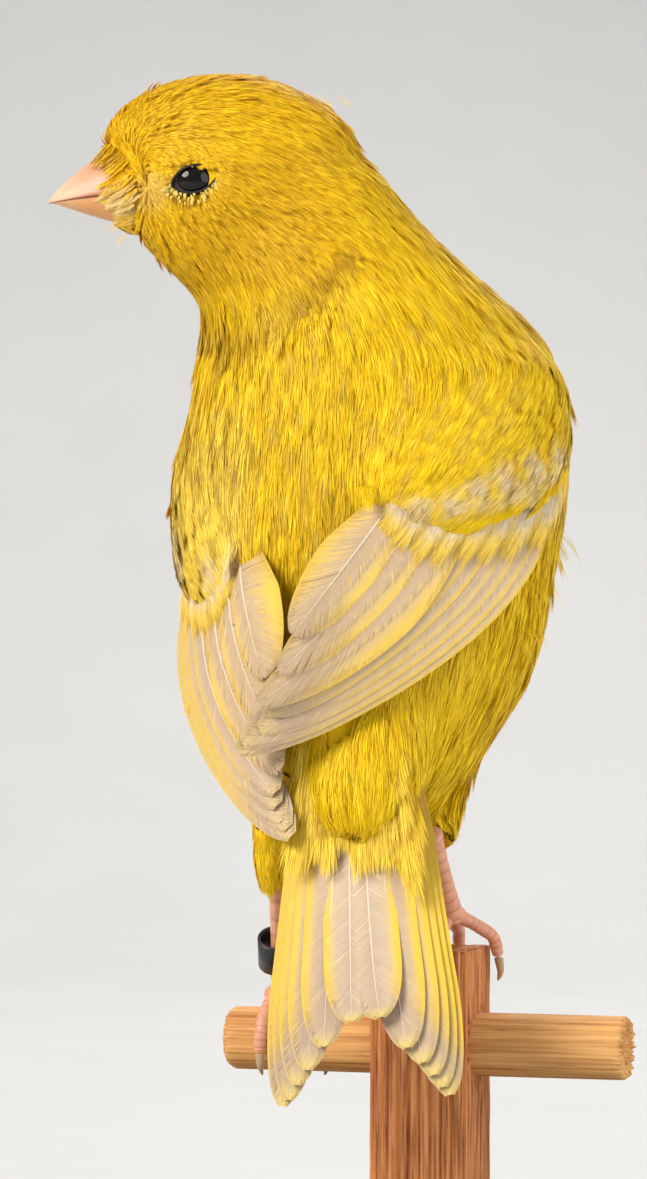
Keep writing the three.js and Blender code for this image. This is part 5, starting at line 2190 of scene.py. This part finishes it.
@dataclass(frozen=True)
class Wisps:
    """Loose hair-fine tufts that stand off the nape, under the chin, on the flank and by the left wing."""

    groups: tuple[tuple[Spot, Spot, float, int], ...] = (
        ((-13.7, 0.0, 117.1), (1.0, 0.0, -0.55), 3.6, 22),
        ((-11.2, 0.0, 113.0), (0.95, 0.0, -0.8), 3.2, 18),
        ((-37.8, -1.0, 102.8), (-0.9, 0.0, -0.6), 3.4, 3),
        ((3.2, -2.0, 96.6), (0.75, 0.0, -0.8), 2.6, 6),
        ((15.2, -7.0, 62.0), (0.4, -0.4, -0.85), 4.4, 14),
        ((13.2, -9.0, 57.5), (0.45, -0.4, -0.8), 4.4, 14),
        ((11.6, -10.0, 52.0), (0.5, -0.4, -0.75), 4.0, 10),
        ((-27.2, -4.0, 42.2), (-0.95, 0.0, 0.1), 3.4, 9),
    )
    seed: int = 17

    def build(self, finish: Material) -> None:
        """Makes all wisps in one piece.

        Args:
            finish: the material.
        """
        rng = np.random.default_rng(self.seed)
        patch = Patch()
        for place, way, length, count in self.groups:
            s = np.linspace(0, 1, 6)[None, :, None]
            way = unit(np.array(way) + rng.normal(0, 0.16, (count, 3)))[:, None]
            bow = np.array([0.0, 0.0, -0.25]) * rng.uniform(0.3, 1.3, (count, 1, 1))
            root = np.array(place) + rng.normal(0, 0.8, (count, 1, 3)) - 0.9 * way
            path = seen(root + length * rng.uniform(0.7, 1.1, (count, 1, 1)) * (way * s + bow * s**2))
            shafts = Shafts.along(path, heading(np.array([0.0, -1.0, 0.0])))

            def paint(share: Array, side: Array) -> Array:
                """Colour at shares of the length and places across."""
                colour = tint(Tone.YELLOW, share)
                return blend(colour, Tone.PALE, 0.6 * ramp(share, 0.4, 1))

            width = np.full(count, 0.45) * MM
            places = np.stack([rng.uniform(0.05, 0.95, count), np.full(count, 0.99)], -1)
            weave = Weave(strands=6, sweep=0.6, loose=0.8, blade=0.05, roll=0.3, rise=0.2, mat=True,
                          web_grid=(2, 2), web_share=(0.02, 0.3))
            plumes = Plumes(shafts, np.full(count, length), width, width, np.zeros((count, 2)), paint,
                            places, weave, rng)
            plumes.strands(patch)
        patch.piece("wisps", finish, "plumage")


@dataclass
class Eyes:
    """Wet dark eyes in an almond opening, with small flat feathers round the lids."""

    place: Pair = EYE
    out: float = 8.1
    radius: float = 2.7
    lid_out: float = 10.5
    lid: Pair = (2.9, 1.68)
    slant: float = math.radians(16)

    def local(self, u: Array, z: Array) -> tuple[Array, Array]:
        """Places along and above the slanted opening of the lids.

        Args:
            u: laid-out places.
            z: laid-out heights.

        Returns:
            Both places, in millimetres.
        """
        c, s = math.cos(self.slant), math.sin(self.slant)
        x, y = u - self.place[0], z - self.place[1]
        return x * c + y * s, y * c - x * s

    def build(self, wet: Material, rim: Material, bead: Material) -> None:
        """Makes both eyes and both lids.

        Args:
            wet: the eyeballs' material.
            rim: the lids' material.
            bead: the lid feathers' material.
        """
        for name, side in (("left", -1), ("right", 1)):
            ball = shaped_ball(64, 48, partial(self.ball_point, side=side))
            eye = finished(ball, f"eye_{name}_ball", wet)
            points = laid(placed(eye.data.vertices))
            away = np.hypot(points[:, 0] - self.place[0] + 0.1, points[:, 2] - self.place[1])
            shade = blend(tint((0.004, 0.003, 0.003), away), (0.022, 0.010, 0.005),
                          ramp(away, 1.6, 2.0))
            painted(eye, shade)
            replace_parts(eye, f"eye_{name}")
            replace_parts(finished(self.ring(side), f"eyelid_{name}_rim", rim), f"eyelid_{name}")
            socket = shaped_ball(48, 12, partial(self.socket_point, side=side))
            finished(socket, f"eyelid_{name}_socket", rim)
            finished(self.lid_feathers(side), f"eyelid_{name}_feathers", bead)

    def ball_point(self, share: Array, angle: Array, side: int) -> Array:
        """Points of the eyeball.

        Args:
            share: shares from pole to pole.
            angle: angles round it.
            side: 1 for the right eye, -1 for the left.

        Returns:
            Laid-out millimetres.
        """
        polar = math.pi * share
        x, y, z = np.sin(polar) * np.cos(angle), np.sin(polar) * np.sin(angle), -np.cos(polar)
        r = self.radius
        return np.stack([self.place[0] + r * 1.08 * x, side * self.out + r * y, self.place[1] + r * z], -1)

    def socket_point(self, share: Array, angle: Array, side: int) -> Array:
        """Points of the dark lining that fills the opening behind the rim.

        Args:
            share: shares from pole to pole.
            angle: angles round it.
            side: 1 for the right eye, -1 for the left.

        Returns:
            Laid-out millimetres.
        """
        rim = self.oval(angle, side, 0.05)
        centre = np.array([self.place[0], side * (self.lid_out - 0.5), self.place[1]])
        spot = centre + (rim - centre) * np.sin(math.pi * share)[:, None]
        return spot + np.stack([0 * share, side * (0.2 - 0.9 * share), 0 * share], -1)

    def oval(self, angle: Array, side: int, grow: float) -> Array:
        """Laid-out points round the lid's opening, pointed at its corners.

        Args:
            angle: angles round it.
            side: 1 for the right eye, -1 for the left.
            grow: extra size in millimetres.

        Returns:
            Laid-out millimetres.
        """
        sine = np.sin(angle)
        x = (self.lid[0] + grow) * np.cos(angle)
        z = (self.lid[1] + grow) * np.sign(sine) * np.abs(sine) ** 1.3
        c, s = math.cos(self.slant), math.sin(self.slant)
        depth = self.lid_out - 0.55 * np.cos(angle) ** 2 - 0.12 * grow
        return np.stack([self.place[0] + x * c - z * s, side * depth, self.place[1] + x * s + z * c], -1)

    def ring(self, side: int) -> Shape:
        """The dark rim of the lids: a slim tube round the opening.

        Args:
            side: 1 for the right eye, -1 for the left.

        Returns:
            The closed shape.
        """
        bm = bmesh.new()
        bmesh.ops.create_circle(bm, segments=10, radius=1)
        circle = np.array([v.co[:2] for v in bm.verts])
        bm.clear()
        turns = 56
        away = unit(heading(np.array([0, side, 0.0])))
        loops = []
        for k in range(turns):
            angle = 2 * math.pi * k / turns
            middle = seen(self.oval(np.array(angle), side, 0.0))
            ahead = unit(seen(self.oval(np.array(angle + 0.05), side, 0.0)) - middle)
            flat = np.cross(ahead, away)
            spots = middle + (circle[:, :1] * flat * 0.15 + circle[:, 1:] * away * 0.26) * MM
            loops.append([bm.verts.new(spot) for spot in spots])
        for k in range(turns):
            edges = []
            for loop in (loops[k], loops[(k + 1) % turns]):
                for i in range(len(loop)):
                    pair = (loop[i], loop[(i + 1) % len(loop)])
                    edges.append(bm.edges.get(pair) or bm.edges.new(pair))
            bmesh.ops.bridge_loops(bm, edges=edges)
        bmesh.ops.recalc_face_normals(bm, faces=bm.faces)
        return bm

    def lid_feathers(self, side: int) -> Shape:
        """Small rounded feathers that radiate from the lid, most of them below and behind.

        Args:
            side: 1 for the right eye, -1 for the left.

        Returns:
            The feathers, one shape.
        """
        bm = bmesh.new()
        rng = np.random.default_rng(8 + side)
        for row, (grow, size) in enumerate(((0.27, 0.2), (0.56, 0.28), (0.92, 0.33), (1.3, 0.33))):
            count = 46 - 3 * row
            for k in range(count):
                angle = 2 * math.pi * (k + 0.5 * (row % 2)) / count + rng.normal(0, 0.06)
                low = math.sin(angle) < (0.2 if row < 2 else -0.05)
                if not low or rng.random() < 0.1 + 0.1 * row:
                    continue
                proud = heading(np.array([0, side * (0.1 + 0.12 * row), 0]))
                spot = seen(self.oval(np.array(angle), side, grow + rng.normal(0, 0.08))) + proud
                away = seen(self.oval(np.array(angle), side, grow + 0.5)) - spot
                turn = Vector(away).to_track_quat("X", "Y").to_matrix().to_4x4()
                grown = size * rng.uniform(0.7, 1.3)
                shape = Matrix.Diagonal((1.5, 0.75, 0.55, 1))
                bmesh.ops.create_icosphere(bm, subdivisions=1, radius=grown * MM,
                                           matrix=Matrix.Translation(Vector(spot)) @ turn @ shape)
        return bm


# Legs

@dataclass(frozen=True)
class Digit:
    """A tapering tube along a path, with scales or without."""

    path: Line
    radii: tuple[float, ...]
    scales: int = 0
    pads: float = 0.0
    around: int = 20
    along: int = 70

    def shape(self, turned: bool = True) -> Shape:
        """The closed tube.

        Args:
            turned: whether the path is in laid-out millimetres instead of the perch's own axes.

        Returns:
            The bmesh.
        """
        def place(share: Array, angle: Array) -> Array:
            """Points of the shape."""
            share = np.clip(share, 0, 1)
            eased = share * 0.3 + 0.7 * (1 - np.cos(math.pi * share)) / 2
            centre = self.points(eased)
            ahead = unit(self.points(np.minimum(eased + 0.01, 1)) - self.points(np.maximum(eased - 0.01, 0)))
            side = unit(np.cross(ahead, np.array([0.0, 0.3, 1.0]) if turned else np.array([1.0, 0.02, 0.03])))
            up = np.cross(side, ahead)
            radius = spread([(r,) for r in self.radii], eased)[:, 0]
            inset = np.minimum(eased, 1 - eased) / 0.05
            radius = radius * np.sqrt(np.clip(1 - np.clip(1 - inset, 0, 1) ** 2, 0, 1))
            if self.scales:
                saw = (eased * self.scales) % 1
                radius = radius * (1 + 0.07 * (saw**0.7) - 0.05)
            if self.pads:
                below = np.clip(-np.sin(angle), 0, 1)
                radius = radius * (1 + self.pads * np.sin(eased * math.pi * 3.0) ** 2 * below)
            offset = side * (radius * np.cos(angle))[:, None] + up * (radius * np.sin(angle))[:, None]
            spots = centre + offset
            return spots if turned else laid((spots + np.array([0, 0, PERCH_HEIGHT])) * MM)
        return shaped_ball(self.around, self.along, place)

    def points(self, share: Array) -> Array:
        """Smooth points along the path."""
        return spread(self.path, share)

    def paint(self, obj: Piece, turned: bool = True) -> None:
        """Paints the scales' seams along the tube.

        Args:
            obj: the piece.
            turned: whether the path is laid out.
        """
        co = placed(obj.data.vertices)
        line = self.points(np.linspace(0, 1, 200))
        line = seen(line) if turned else (line + np.array([0, 0, PERCH_HEIGHT])) * MM
        nearest = np.argmin(((co[:, None] - line[None]) ** 2).sum(-1), 1) / 199
        saw = (nearest * max(self.scales, 1)) % 1
        seam = ramp(saw, 0.8, 0.97) + ramp(-saw, -0.08, 0)
        painted(obj, blend(tint((0.78, 0.37, 0.22), saw), (0.50, 0.13, 0.07), 0.55 * np.clip(seam, 0, 1)))


def round_dowel(x: float, degrees: float, radius: float) -> Spot:
    """A point at a turn round the dowel, in the perch's own axes."""
    angle = math.radians(degrees)
    return (x, radius * math.sin(angle), radius * math.cos(angle))


@dataclass
class Legs:
    """Shanks, toes and claws of both feet."""

    shanks: dict[str, Line] = field(default_factory=lambda: {
        "right": ((-0.2, -9.6, 27), (1.5, -4.8, 21), (3, -0.7, 15.6)),
        "left": ((-19.3, -10.5, 24.4), (-19.1, -2.2, 14.1), (-18.9, 6.2, 4.9))})
    palms: dict[str, Spot] = field(default_factory=lambda: {
        "right": (2.9, 0.2, 16.1), "left": (-20.2, 0.4, 5.6)})
    grip: float = 5.2
    left_toes: Line = (
        (-20.9, -104, -138), (-18.8, 118, 152), (-17.2, 128, 160), (-14.9, 112, 146))
    right_toes: tuple[Line, ...] = (
        ((2.5, -0.6, 15.8), (2.3, -3, 14.2), (2.1, -5.2, 13.5), (2, -6.9, 13.3)),
        ((3.4, 0.4, 16.1), (5.2, 1.9, 14.95), (7.2, 3.5, 13.25), (7.7, 4.4, 10.8)),
        ((2.8, 0.8, 16), (2.3, 3.8, 14.6), (1.9, 6.6, 13.7), (1.6, 7.75, 11.4)),
        ((2.3, 0.6, 15.9), (-0.4, 3.2, 14.4), (-2.9, 6.1, 13.7), (-3.9, 7.75, 11.6)))
    right_claws: tuple[Line, ...] = (
        ((2, -7.1, 13.2), (1.95, -8.1, 12.4), (1.9, -8.2, 11)),
        ((7.72, 4.45, 10.6), (7.8, 5, 8.8), (7.4, 5.2, 7.6)),
        ((1.58, 7.8, 11.2), (1.5, 7.9, 9.5), (1.45, 7.4, 8.3)),
        ((-3.97, 7.8, 11.4), (-4.2, 7.9, 9.7), (-4.3, 7.4, 8.5)))

    def left_toe(self, end_x: float, turn: float) -> Line:
        """Path of a toe round the dowel.

        Args:
            end_x: where the toe ends along the dowel.
            turn: degrees round the dowel at its end.

        Returns:
            Points of the path.
        """
        start = self.palms["left"][0]
        shares = (0.06, 0.3, 0.54, 0.77, 1)
        return tuple(round_dowel(start + (end_x - start) * s, turn * s, self.grip) for s in shares)

    def left_claw(self, end_x: float, turn: float, claw: float) -> Line:
        """Path of a claw round the dowel.

        Args:
            end_x: where the toe ends along the dowel.
            turn: degrees round the dowel at its end.
            claw: degrees at the claw's tip.

        Returns:
            Points of the path.
        """
        first = turn + math.copysign(2.5, turn)
        middle = turn + (claw - turn) * 0.55
        return (round_dowel(end_x, first, self.grip), round_dowel(end_x, middle, self.grip + 0.5),
                round_dowel(end_x, claw, self.grip + 0.6))

    def build(self, skin: Material, horn: Material) -> None:
        """Makes both legs and lets them stand for the solid ones.

        Args:
            skin: the legs' material.
            horn: the claws' material.
        """
        for name, path in self.shanks.items():
            stout = 1.25 if name == "right" else 1.0
            shank = Digit(path, tuple(r * stout for r in (1.25, 1.02, 0.95, 1.02, 1.2)), scales=10, along=110)
            piece = finished(shank.shape(), f"shank_{name}_scales", skin)
            shank.paint(piece)
            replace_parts(piece, f"shank_{name}")
        toes = {"right": self.right_toes, "left": [self.left_toe(x, t) for x, t, _ in self.left_toes]}
        claws = {"right": self.right_claws, "left": [self.left_claw(*toe) for toe in self.left_toes]}
        for name in ("right", "left"):
            for i, path in enumerate(toes[name], 1):
                toe = Digit(path, (0.95, 0.85, 0.82, 0.78, 0.68), scales=11, pads=0.12)
                piece = finished(toe.shape(turned=False), f"toe_{name}_{i}", skin)
                toe.paint(piece, turned=False)
                if i == 1:
                    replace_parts(piece, f"foot_{name}")
                claw = Digit(claws[name][i - 1], (0.6, 0.5, 0.33, 0.1), along=24)
                piece = finished(claw.shape(turned=False), f"claw_{name}_{i}_horn", horn)
                painted(piece, (0.50, 0.34, 0.20))
                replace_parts(piece, f"claw_{name}_{i}")
            piece = finished(self.palm(self.palms[name]), f"palm_{name}", skin)
            painted(piece, (0.74, 0.34, 0.20))

    @staticmethod
    def palm(place: Spot) -> Shape:
        """The pad where the toes meet.

        Args:
            place: its middle, in the perch's own millimetres.

        Returns:
            The closed shape.
        """
        bm = bmesh.new()
        matrix = Matrix.Translation(Vector((place[0], place[1], place[2] + PERCH_HEIGHT)) * MM)
        bmesh.ops.create_uvsphere(bm, u_segments=24, v_segments=16, radius=1.8 * MM,
                                  matrix=matrix @ Matrix.Diagonal((1, 1, 0.75, 1)))
        return bm


@dataclass
class LegRing:
    """The closed band on the left shank, bare."""

    inner: float = 1.8
    outer: float = 2.2
    height: float = 4.6
    share: float = 0.66
    shift: float = -0.42

    def build(self, finish: Material) -> None:
        """Spins the band's section round the shank's own line.

        Args:
            finish: the material.
        """
        half, round_ = self.height / 2, 0.1
        section = ((self.inner, -half + round_), (self.inner + round_, -half), (self.outer - round_, -half),
                   (self.outer, -half + round_), (self.outer, half - round_), (self.outer - round_, half),
                   (self.inner + round_, half), (self.inner, half - round_))
        bm = spun(section, True, 64)
        path = Legs().shanks["left"]
        top, foot = seen(np.array(path[0], float)), seen(np.array(path[2], float))
        axis = Vector(unit(top - foot))
        right = heading(np.array([self.shift, 0, 0.0]))
        at = top + (foot - top) * self.share + right
        bm.transform(Matrix.Translation(Vector(at)) @ axis.to_track_quat("Z", "Y").to_matrix().to_4x4())
        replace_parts(finished(bm, "leg_ring_band", finish), "leg_ring")


# Perch and stand

@dataclass
class Perch:
    """The cut length of perch: a ribbed square post with a dowel through it, torn where they meet."""

    side: float = 12.7
    top: float = 12.05
    bottom: float = -19.5
    ribs: float = 8.5
    depth: float = 0.62
    dowel_radius: float = 4.0
    dowel: Pair = (-26.4, 26.0)

    def build(self, post_wood: Material, dowel_wood: Material) -> None:
        """Makes the post and the dowel and lets them stand for the solids.

        Args:
            post_wood: the post's material.
            dowel_wood: the dowel's material.
        """
        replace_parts(finished(self.post(), "perch_post_wood", post_wood), "perch_post")
        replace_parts(finished(self.bar(), "perch_dowel_wood", dowel_wood), "perch_dowel")
        finished(self.splinters(), "perch_splinters", post_wood, smooth=False)

    def groove(self, across: Array, high: Array, face: Array) -> Array:
        """Depth of ribs and torn fibres on the post's faces, in millimetres.

        Args:
            across: place across the face.
            high: height on it.
            face: number of the face.

        Returns:
            Millimetres.
        """
        wander = 0.35 * np.sin(0.13 * high + 2.1 * face) + 0.2 * np.sin(0.41 * high + face)
        phase = 2 * math.pi * (across / self.side * self.ribs + 0.06 * wander + 0.31 * face)
        rib = (0.5 - 0.5 * np.cos(phase)) ** 2.2
        waver = np.sin(phase * 3.7 + 0.6 * np.sin(0.9 * high))
        return self.depth * rib + 0.09 * (0.5 + 0.5 * waver * np.sin(1.3 * across + 0.35 * high))

    def post(self) -> Shape:
        """A cube cut fine, its four faces ribbed and its top rough from the saw.

        Returns:
            The closed shape.
        """
        bm = bmesh.new()
        bmesh.ops.create_cube(bm, size=1)
        bmesh.ops.subdivide_edges(bm, edges=bm.edges, cuts=60, use_grid_fill=True)
        co = placed(bm.verts)
        x, y, z = co.T
        high = self.bottom + (z + 0.5) * (self.top - self.bottom)
        flank = np.abs(x) >= np.abs(y)
        face = np.where(flank, np.where(x > 0, 1, 2), np.where(y > 0, 3, 4))
        across = np.where(flank, y, x) * self.side
        edge = np.maximum(np.abs(x), np.abs(y))
        worn = 0.5 * ramp(np.minimum(np.abs(x), np.abs(y)), 0.455, 0.5)
        inward = np.where(edge > 0.499, self.groove(across, high, face) + worn + 0.06, 0)
        shrink = 1 - inward / (self.side / 2)
        saw = np.abs(0.22 * np.sin(31 * x + 3) * np.sin(27 * y + 1) + 0.16 * np.sin(57 * y + 9 * x))
        level = high - np.where(z > 0.499, saw, 0) + PERCH_HEIGHT
        sent(bm, np.stack([x * self.side * shrink, y * self.side * shrink, level], -1) * MM)
        bmesh.ops.recalc_face_normals(bm, faces=bm.faces)
        return bm

    def bar(self) -> Shape:
        """A turned bar along X with fine lines, one end cut and the other torn.

        Returns:
            The closed shape.
        """
        bm = bmesh.new()
        length = self.dowel[1] - self.dowel[0]
        bmesh.ops.create_cone(bm, cap_ends=True, segments=144, radius1=self.dowel_radius,
                              radius2=self.dowel_radius, depth=length)
        long_edges = [e for e in bm.edges if abs(e.verts[0].co.z - e.verts[1].co.z) > 1]
        bmesh.ops.subdivide_edges(bm, edges=long_edges, cuts=64)
        caps = [f for f in bm.faces if len(f.verts) > 8]
        for inset in (0.35, 0.5, 0.6, 0.7, 0.7, 0.6):
            bmesh.ops.inset_region(bm, faces=caps, thickness=inset)
        co = placed(bm.verts)
        x, y, z = co.T
        angle, radius = np.arctan2(y, x), np.hypot(x, y)
        fibre = 0.05 * np.sin(23 * angle + 0.05 * z) + 0.05 * np.sin(41 * angle + 0.1 * z)
        end = length / 2 - np.abs(z)
        bevel = 0.45 * np.clip(1 - end / 1.0, 0, 1) ** 2
        scale = 1 - (0.05 + fibre * 0.5 + bevel) / self.dowel_radius
        ragged = 0.35 * np.abs(np.sin(7 * angle) * np.sin(2.9 * radius))
        ragged = ragged + 0.3 * np.abs(np.sin(19 * angle + radius))
        hollow = 2.2 * ramp(-np.hypot(x - 0.6, y + 0.4), -3.1, -1.6)
        torn = np.where(end < 0.1, np.where(z > 0, ragged * 1.3 + hollow, ragged * 0.25), 0)
        centre = (self.dowel[0] + self.dowel[1]) / 2
        spots = np.stack([centre + z - np.sign(z) * torn, x * scale, y * scale + PERCH_HEIGHT], -1) * MM
        sent(bm, spots)
        bmesh.ops.recalc_face_normals(bm, faces=bm.faces)
        return bm

    def splinters(self) -> Shape:
        """Short torn fibres round the hole that the dowel leaves by, on both sides of the post.

        Returns:
            The splinters, one shape.
        """
        bm = bmesh.new()
        rng = np.random.default_rng(3)
        for side in (-1, 1):
            for _ in range(46):
                turn = rng.uniform(0, 2 * math.pi)
                reach = self.dowel_radius + 0.25 + rng.uniform(0, 0.8)
                length = rng.uniform(0.7, 2.2)
                spot = Vector((side * (self.side / 2 - 0.25 + rng.uniform(0, 0.25)), reach * math.cos(turn),
                               reach * math.sin(turn) + PERCH_HEIGHT)) * MM
                lean = Matrix.Rotation(rng.normal(0, 0.35), 4, "X")
                lean = lean @ Matrix.Rotation(rng.normal(0, 0.2), 4, "Y")
                matrix = Matrix.Translation(spot) @ lean @ Matrix.Diagonal((0.1, 0.12, length / 2, 1))
                bmesh.ops.create_cone(bm, cap_ends=True, segments=5, radius1=MM, radius2=0.3 * MM,
                                      depth=2 * MM, matrix=matrix)
        return bm


def spun(section: tuple[Pair, ...], closed: bool, steps: int) -> Shape:
    """Spins a section of radius and height round the upright axis.

    Args:
        section: its points in millimetres.
        closed: whether the last point joins the first.
        steps: segments round the axis.

    Returns:
        The closed shape.
    """
    bm = bmesh.new()
    verts = [bm.verts.new((r * MM, 0, z * MM)) for r, z in section]
    ahead = verts[1:] + verts[:1] if closed else verts[1:]
    edges = [bm.edges.new(pair) for pair in zip(verts, ahead)]
    bmesh.ops.spin(bm, geom=verts + edges, cent=(0, 0, 0), axis=(0, 0, 1), angle=2 * math.pi, steps=steps,
                   use_merge=True)
    bmesh.ops.remove_doubles(bm, verts=bm.verts, dist=0.001 * MM)
    bmesh.ops.recalc_face_normals(bm, faces=bm.faces)
    return bm


@dataclass
class Stand:
    """Plain round base and short rod."""

    base_radius: float = 40.0
    base_height: float = 6.0
    rod_radius: float = 4.0
    rod_top: float = 12.2

    def build(self, finish: Material) -> None:
        """Makes both pieces and lets them stand for the solids.

        Args:
            finish: the material.
        """
        r, h, e = self.base_radius, self.base_height, 0.8
        turns = np.linspace(math.pi / 2, 0, 6)
        rim = tuple((r - e + e * math.sin(a), h - e + e * math.cos(a)) for a in turns)
        foot = ((0.0, 0.0), (r - e, 0.0), (r - 0.2, 0.25), (r, e))
        base = spun((*foot, *rim, (0.0, h)), False, 96)
        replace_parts(finished(base, "stand_base_plate", finish, smooth=False), "stand_base")
        s, low = self.rod_radius, h + 0.3
        rod = spun(((0.0, low), (s - 0.3, low), (s, low + 0.3), (s, self.rod_top - 0.3),
                    (s - 0.3, self.rod_top), (0.0, self.rod_top)), False, 96)
        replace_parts(finished(rod, "stand_rod_bar", finish, smooth=False), "stand_rod")


# Stage

@dataclass
class Stage:
    """Camera, pale sweep and soft lights."""

    distance: float = 622.0
    centre: Pair = (-13.4, 57.0)
    half_height: float = 74.15

    def camera(self) -> None:
        """Places the level camera that frames the bird as the photo does."""
        data = bpy.data.cameras.new("view")
        data.sensor_fit = "VERTICAL"
        data.sensor_height = 24
        data.lens = 12 * self.distance / self.half_height
        data.clip_start, data.clip_end = 0.01, 20
        camera = added("view", data)
        camera.location = seen(np.array([self.centre[0], -self.distance, self.centre[1]]))
        camera.rotation_euler = (math.pi / 2, 0, SIGHT_TURN)
        bpy.context.scene.camera = camera

    def sweep(self, finish: Material) -> None:
        """The floor, rising in one curve into a backdrop behind the bird.

        Args:
            finish: the material.
        """
        bm = bmesh.new()
        path = [(-1500.0, 0.0), (500.0, 0.0)]
        turns = np.linspace(0.1, math.pi / 2, 12)
        path += [(500 + 400 * math.sin(a), 400 - 400 * math.cos(a)) for a in turns]
        path += [(900.0, 1800.0)]
        turn = Matrix.Rotation(SIGHT_TURN, 4, "Z")
        verts = [bm.verts.new(turn @ Vector((-1.6, d * MM, z * MM))) for d, z in path]
        edges = [bm.edges.new(pair) for pair in zip(verts, verts[1:])]
        made = bmesh.ops.extrude_edge_only(bm, edges=edges)["geom"]
        shift = turn @ Vector((3.2, 0, 0))
        bmesh.ops.translate(bm, verts=[v for v in made if isinstance(v, bmesh.types.BMVert)], vec=shift)
        floor = added("floor", meshed(bm, "floor"))
        floor.data.materials.append(finish)

    def light(self, name: str, place: Spot, size: float, power: float, colour: Colour) -> None:
        """Adds a round soft light aimed at the bird; place is laid-out millimetres.

        Args:
            name: the lamp's name.
            place: where it hangs.
            size: width in metres.
            power: watts.
            colour: its light's colour.
        """
        data = bpy.data.lights.new(name, "AREA")
        data.shape, data.size, data.energy, data.color = "DISK", size, power, colour
        lamp = added(name, data)
        at, goal = Vector(seen(np.array(place, float))), Vector(seen(np.array([-9.0, 0.0, 62.0])))
        lamp.location = at
        lamp.rotation_euler = (goal - at).to_track_quat("-Z", "Y").to_euler()

    def build(self, finish: Material) -> None:
        """Sets the whole stage.

        Args:
            finish: the material.
        """
        self.camera()
        self.sweep(finish)
        self.light("key", (-620, -560, 520), 0.5, 9.5, (1.0, 0.97, 0.92))
        self.light("fill", (620, -420, 260), 0.8, 4.0, (0.96, 0.98, 1.0))
        self.light("rim", (120, 520, 620), 0.5, 4, (1.0, 0.98, 0.95))
        bpy.context.scene.view_settings.view_transform = "Standard"
        world = bpy.data.worlds.new("studio")
        world.use_nodes = True
        world.node_tree.nodes["Background"].inputs["Color"].default_value = (0.9, 0.93, 1.0, 1)
        world.node_tree.nodes["Background"].inputs["Strength"].default_value = 0.42
        bpy.context.scene.world = world


def main() -> None:
    """Builds every piece in order."""
    logging.basicConfig(level=logging.INFO)
    Stage().build(Plain("pale_floor", (0.60, 0.595, 0.58), 0.8, mottle=0.03, scale=20.0).make())
    coat = Plumage("plumage_coat").make()
    vane = Plumage("plumage_vane", roughness=0.48).make()
    skin = Skin()
    skin.build(Plumage("plumage_skin", roughness=0.8, gloss=0.1).make())
    Coat(skin).build(coat)
    FoldedWing(RIGHT_WING, 31).build(vane)
    FoldedWing(LEFT_WING, 47, (0.0, 0.035, 0.07, 0.105, 0.15, 0.24), (0.5, 0.74, 0.97),
               (4.8, 6.4)).build(vane)
    Tail().build(vane, coat)
    Bill().build(Horn("bill_horn").make())
    BillTufts().build(coat)
    HeelFeathers((-19.6, -10.6, 27.6)).build("heel_left_feathers", coat)
    Wisps().build(coat)
    Eyes().build(Wet().make(), Plain("lid_dark", (0.014, 0.008, 0.005), 0.7).make(),
                 Plain("lid_feather", (0.86, 0.64, 0.13), 0.6, mottle=0.35, scale=900.0).make())
    Legs().build(Scaled().make(), Horn("claw_horn", 0.3).make())
    LegRing().build(Plain("ring_black", (0.02, 0.02, 0.024), 0.35, mottle=0.4).make())
    Perch().build(Wood("post_wood", (0.76, 0.32, 0.11), (0.36, 0.12, 0.04), (1, 1, 0.05)).make(),
                  Wood("dowel_wood", (0.80, 0.43, 0.15), (0.56, 0.26, 0.08), (0.03, 1, 1)).make())
    Stand().build(Plain("stand_paint", (0.05, 0.048, 0.045), 0.55, mottle=0.1).make())


if __name__ == "__main__":
    main()
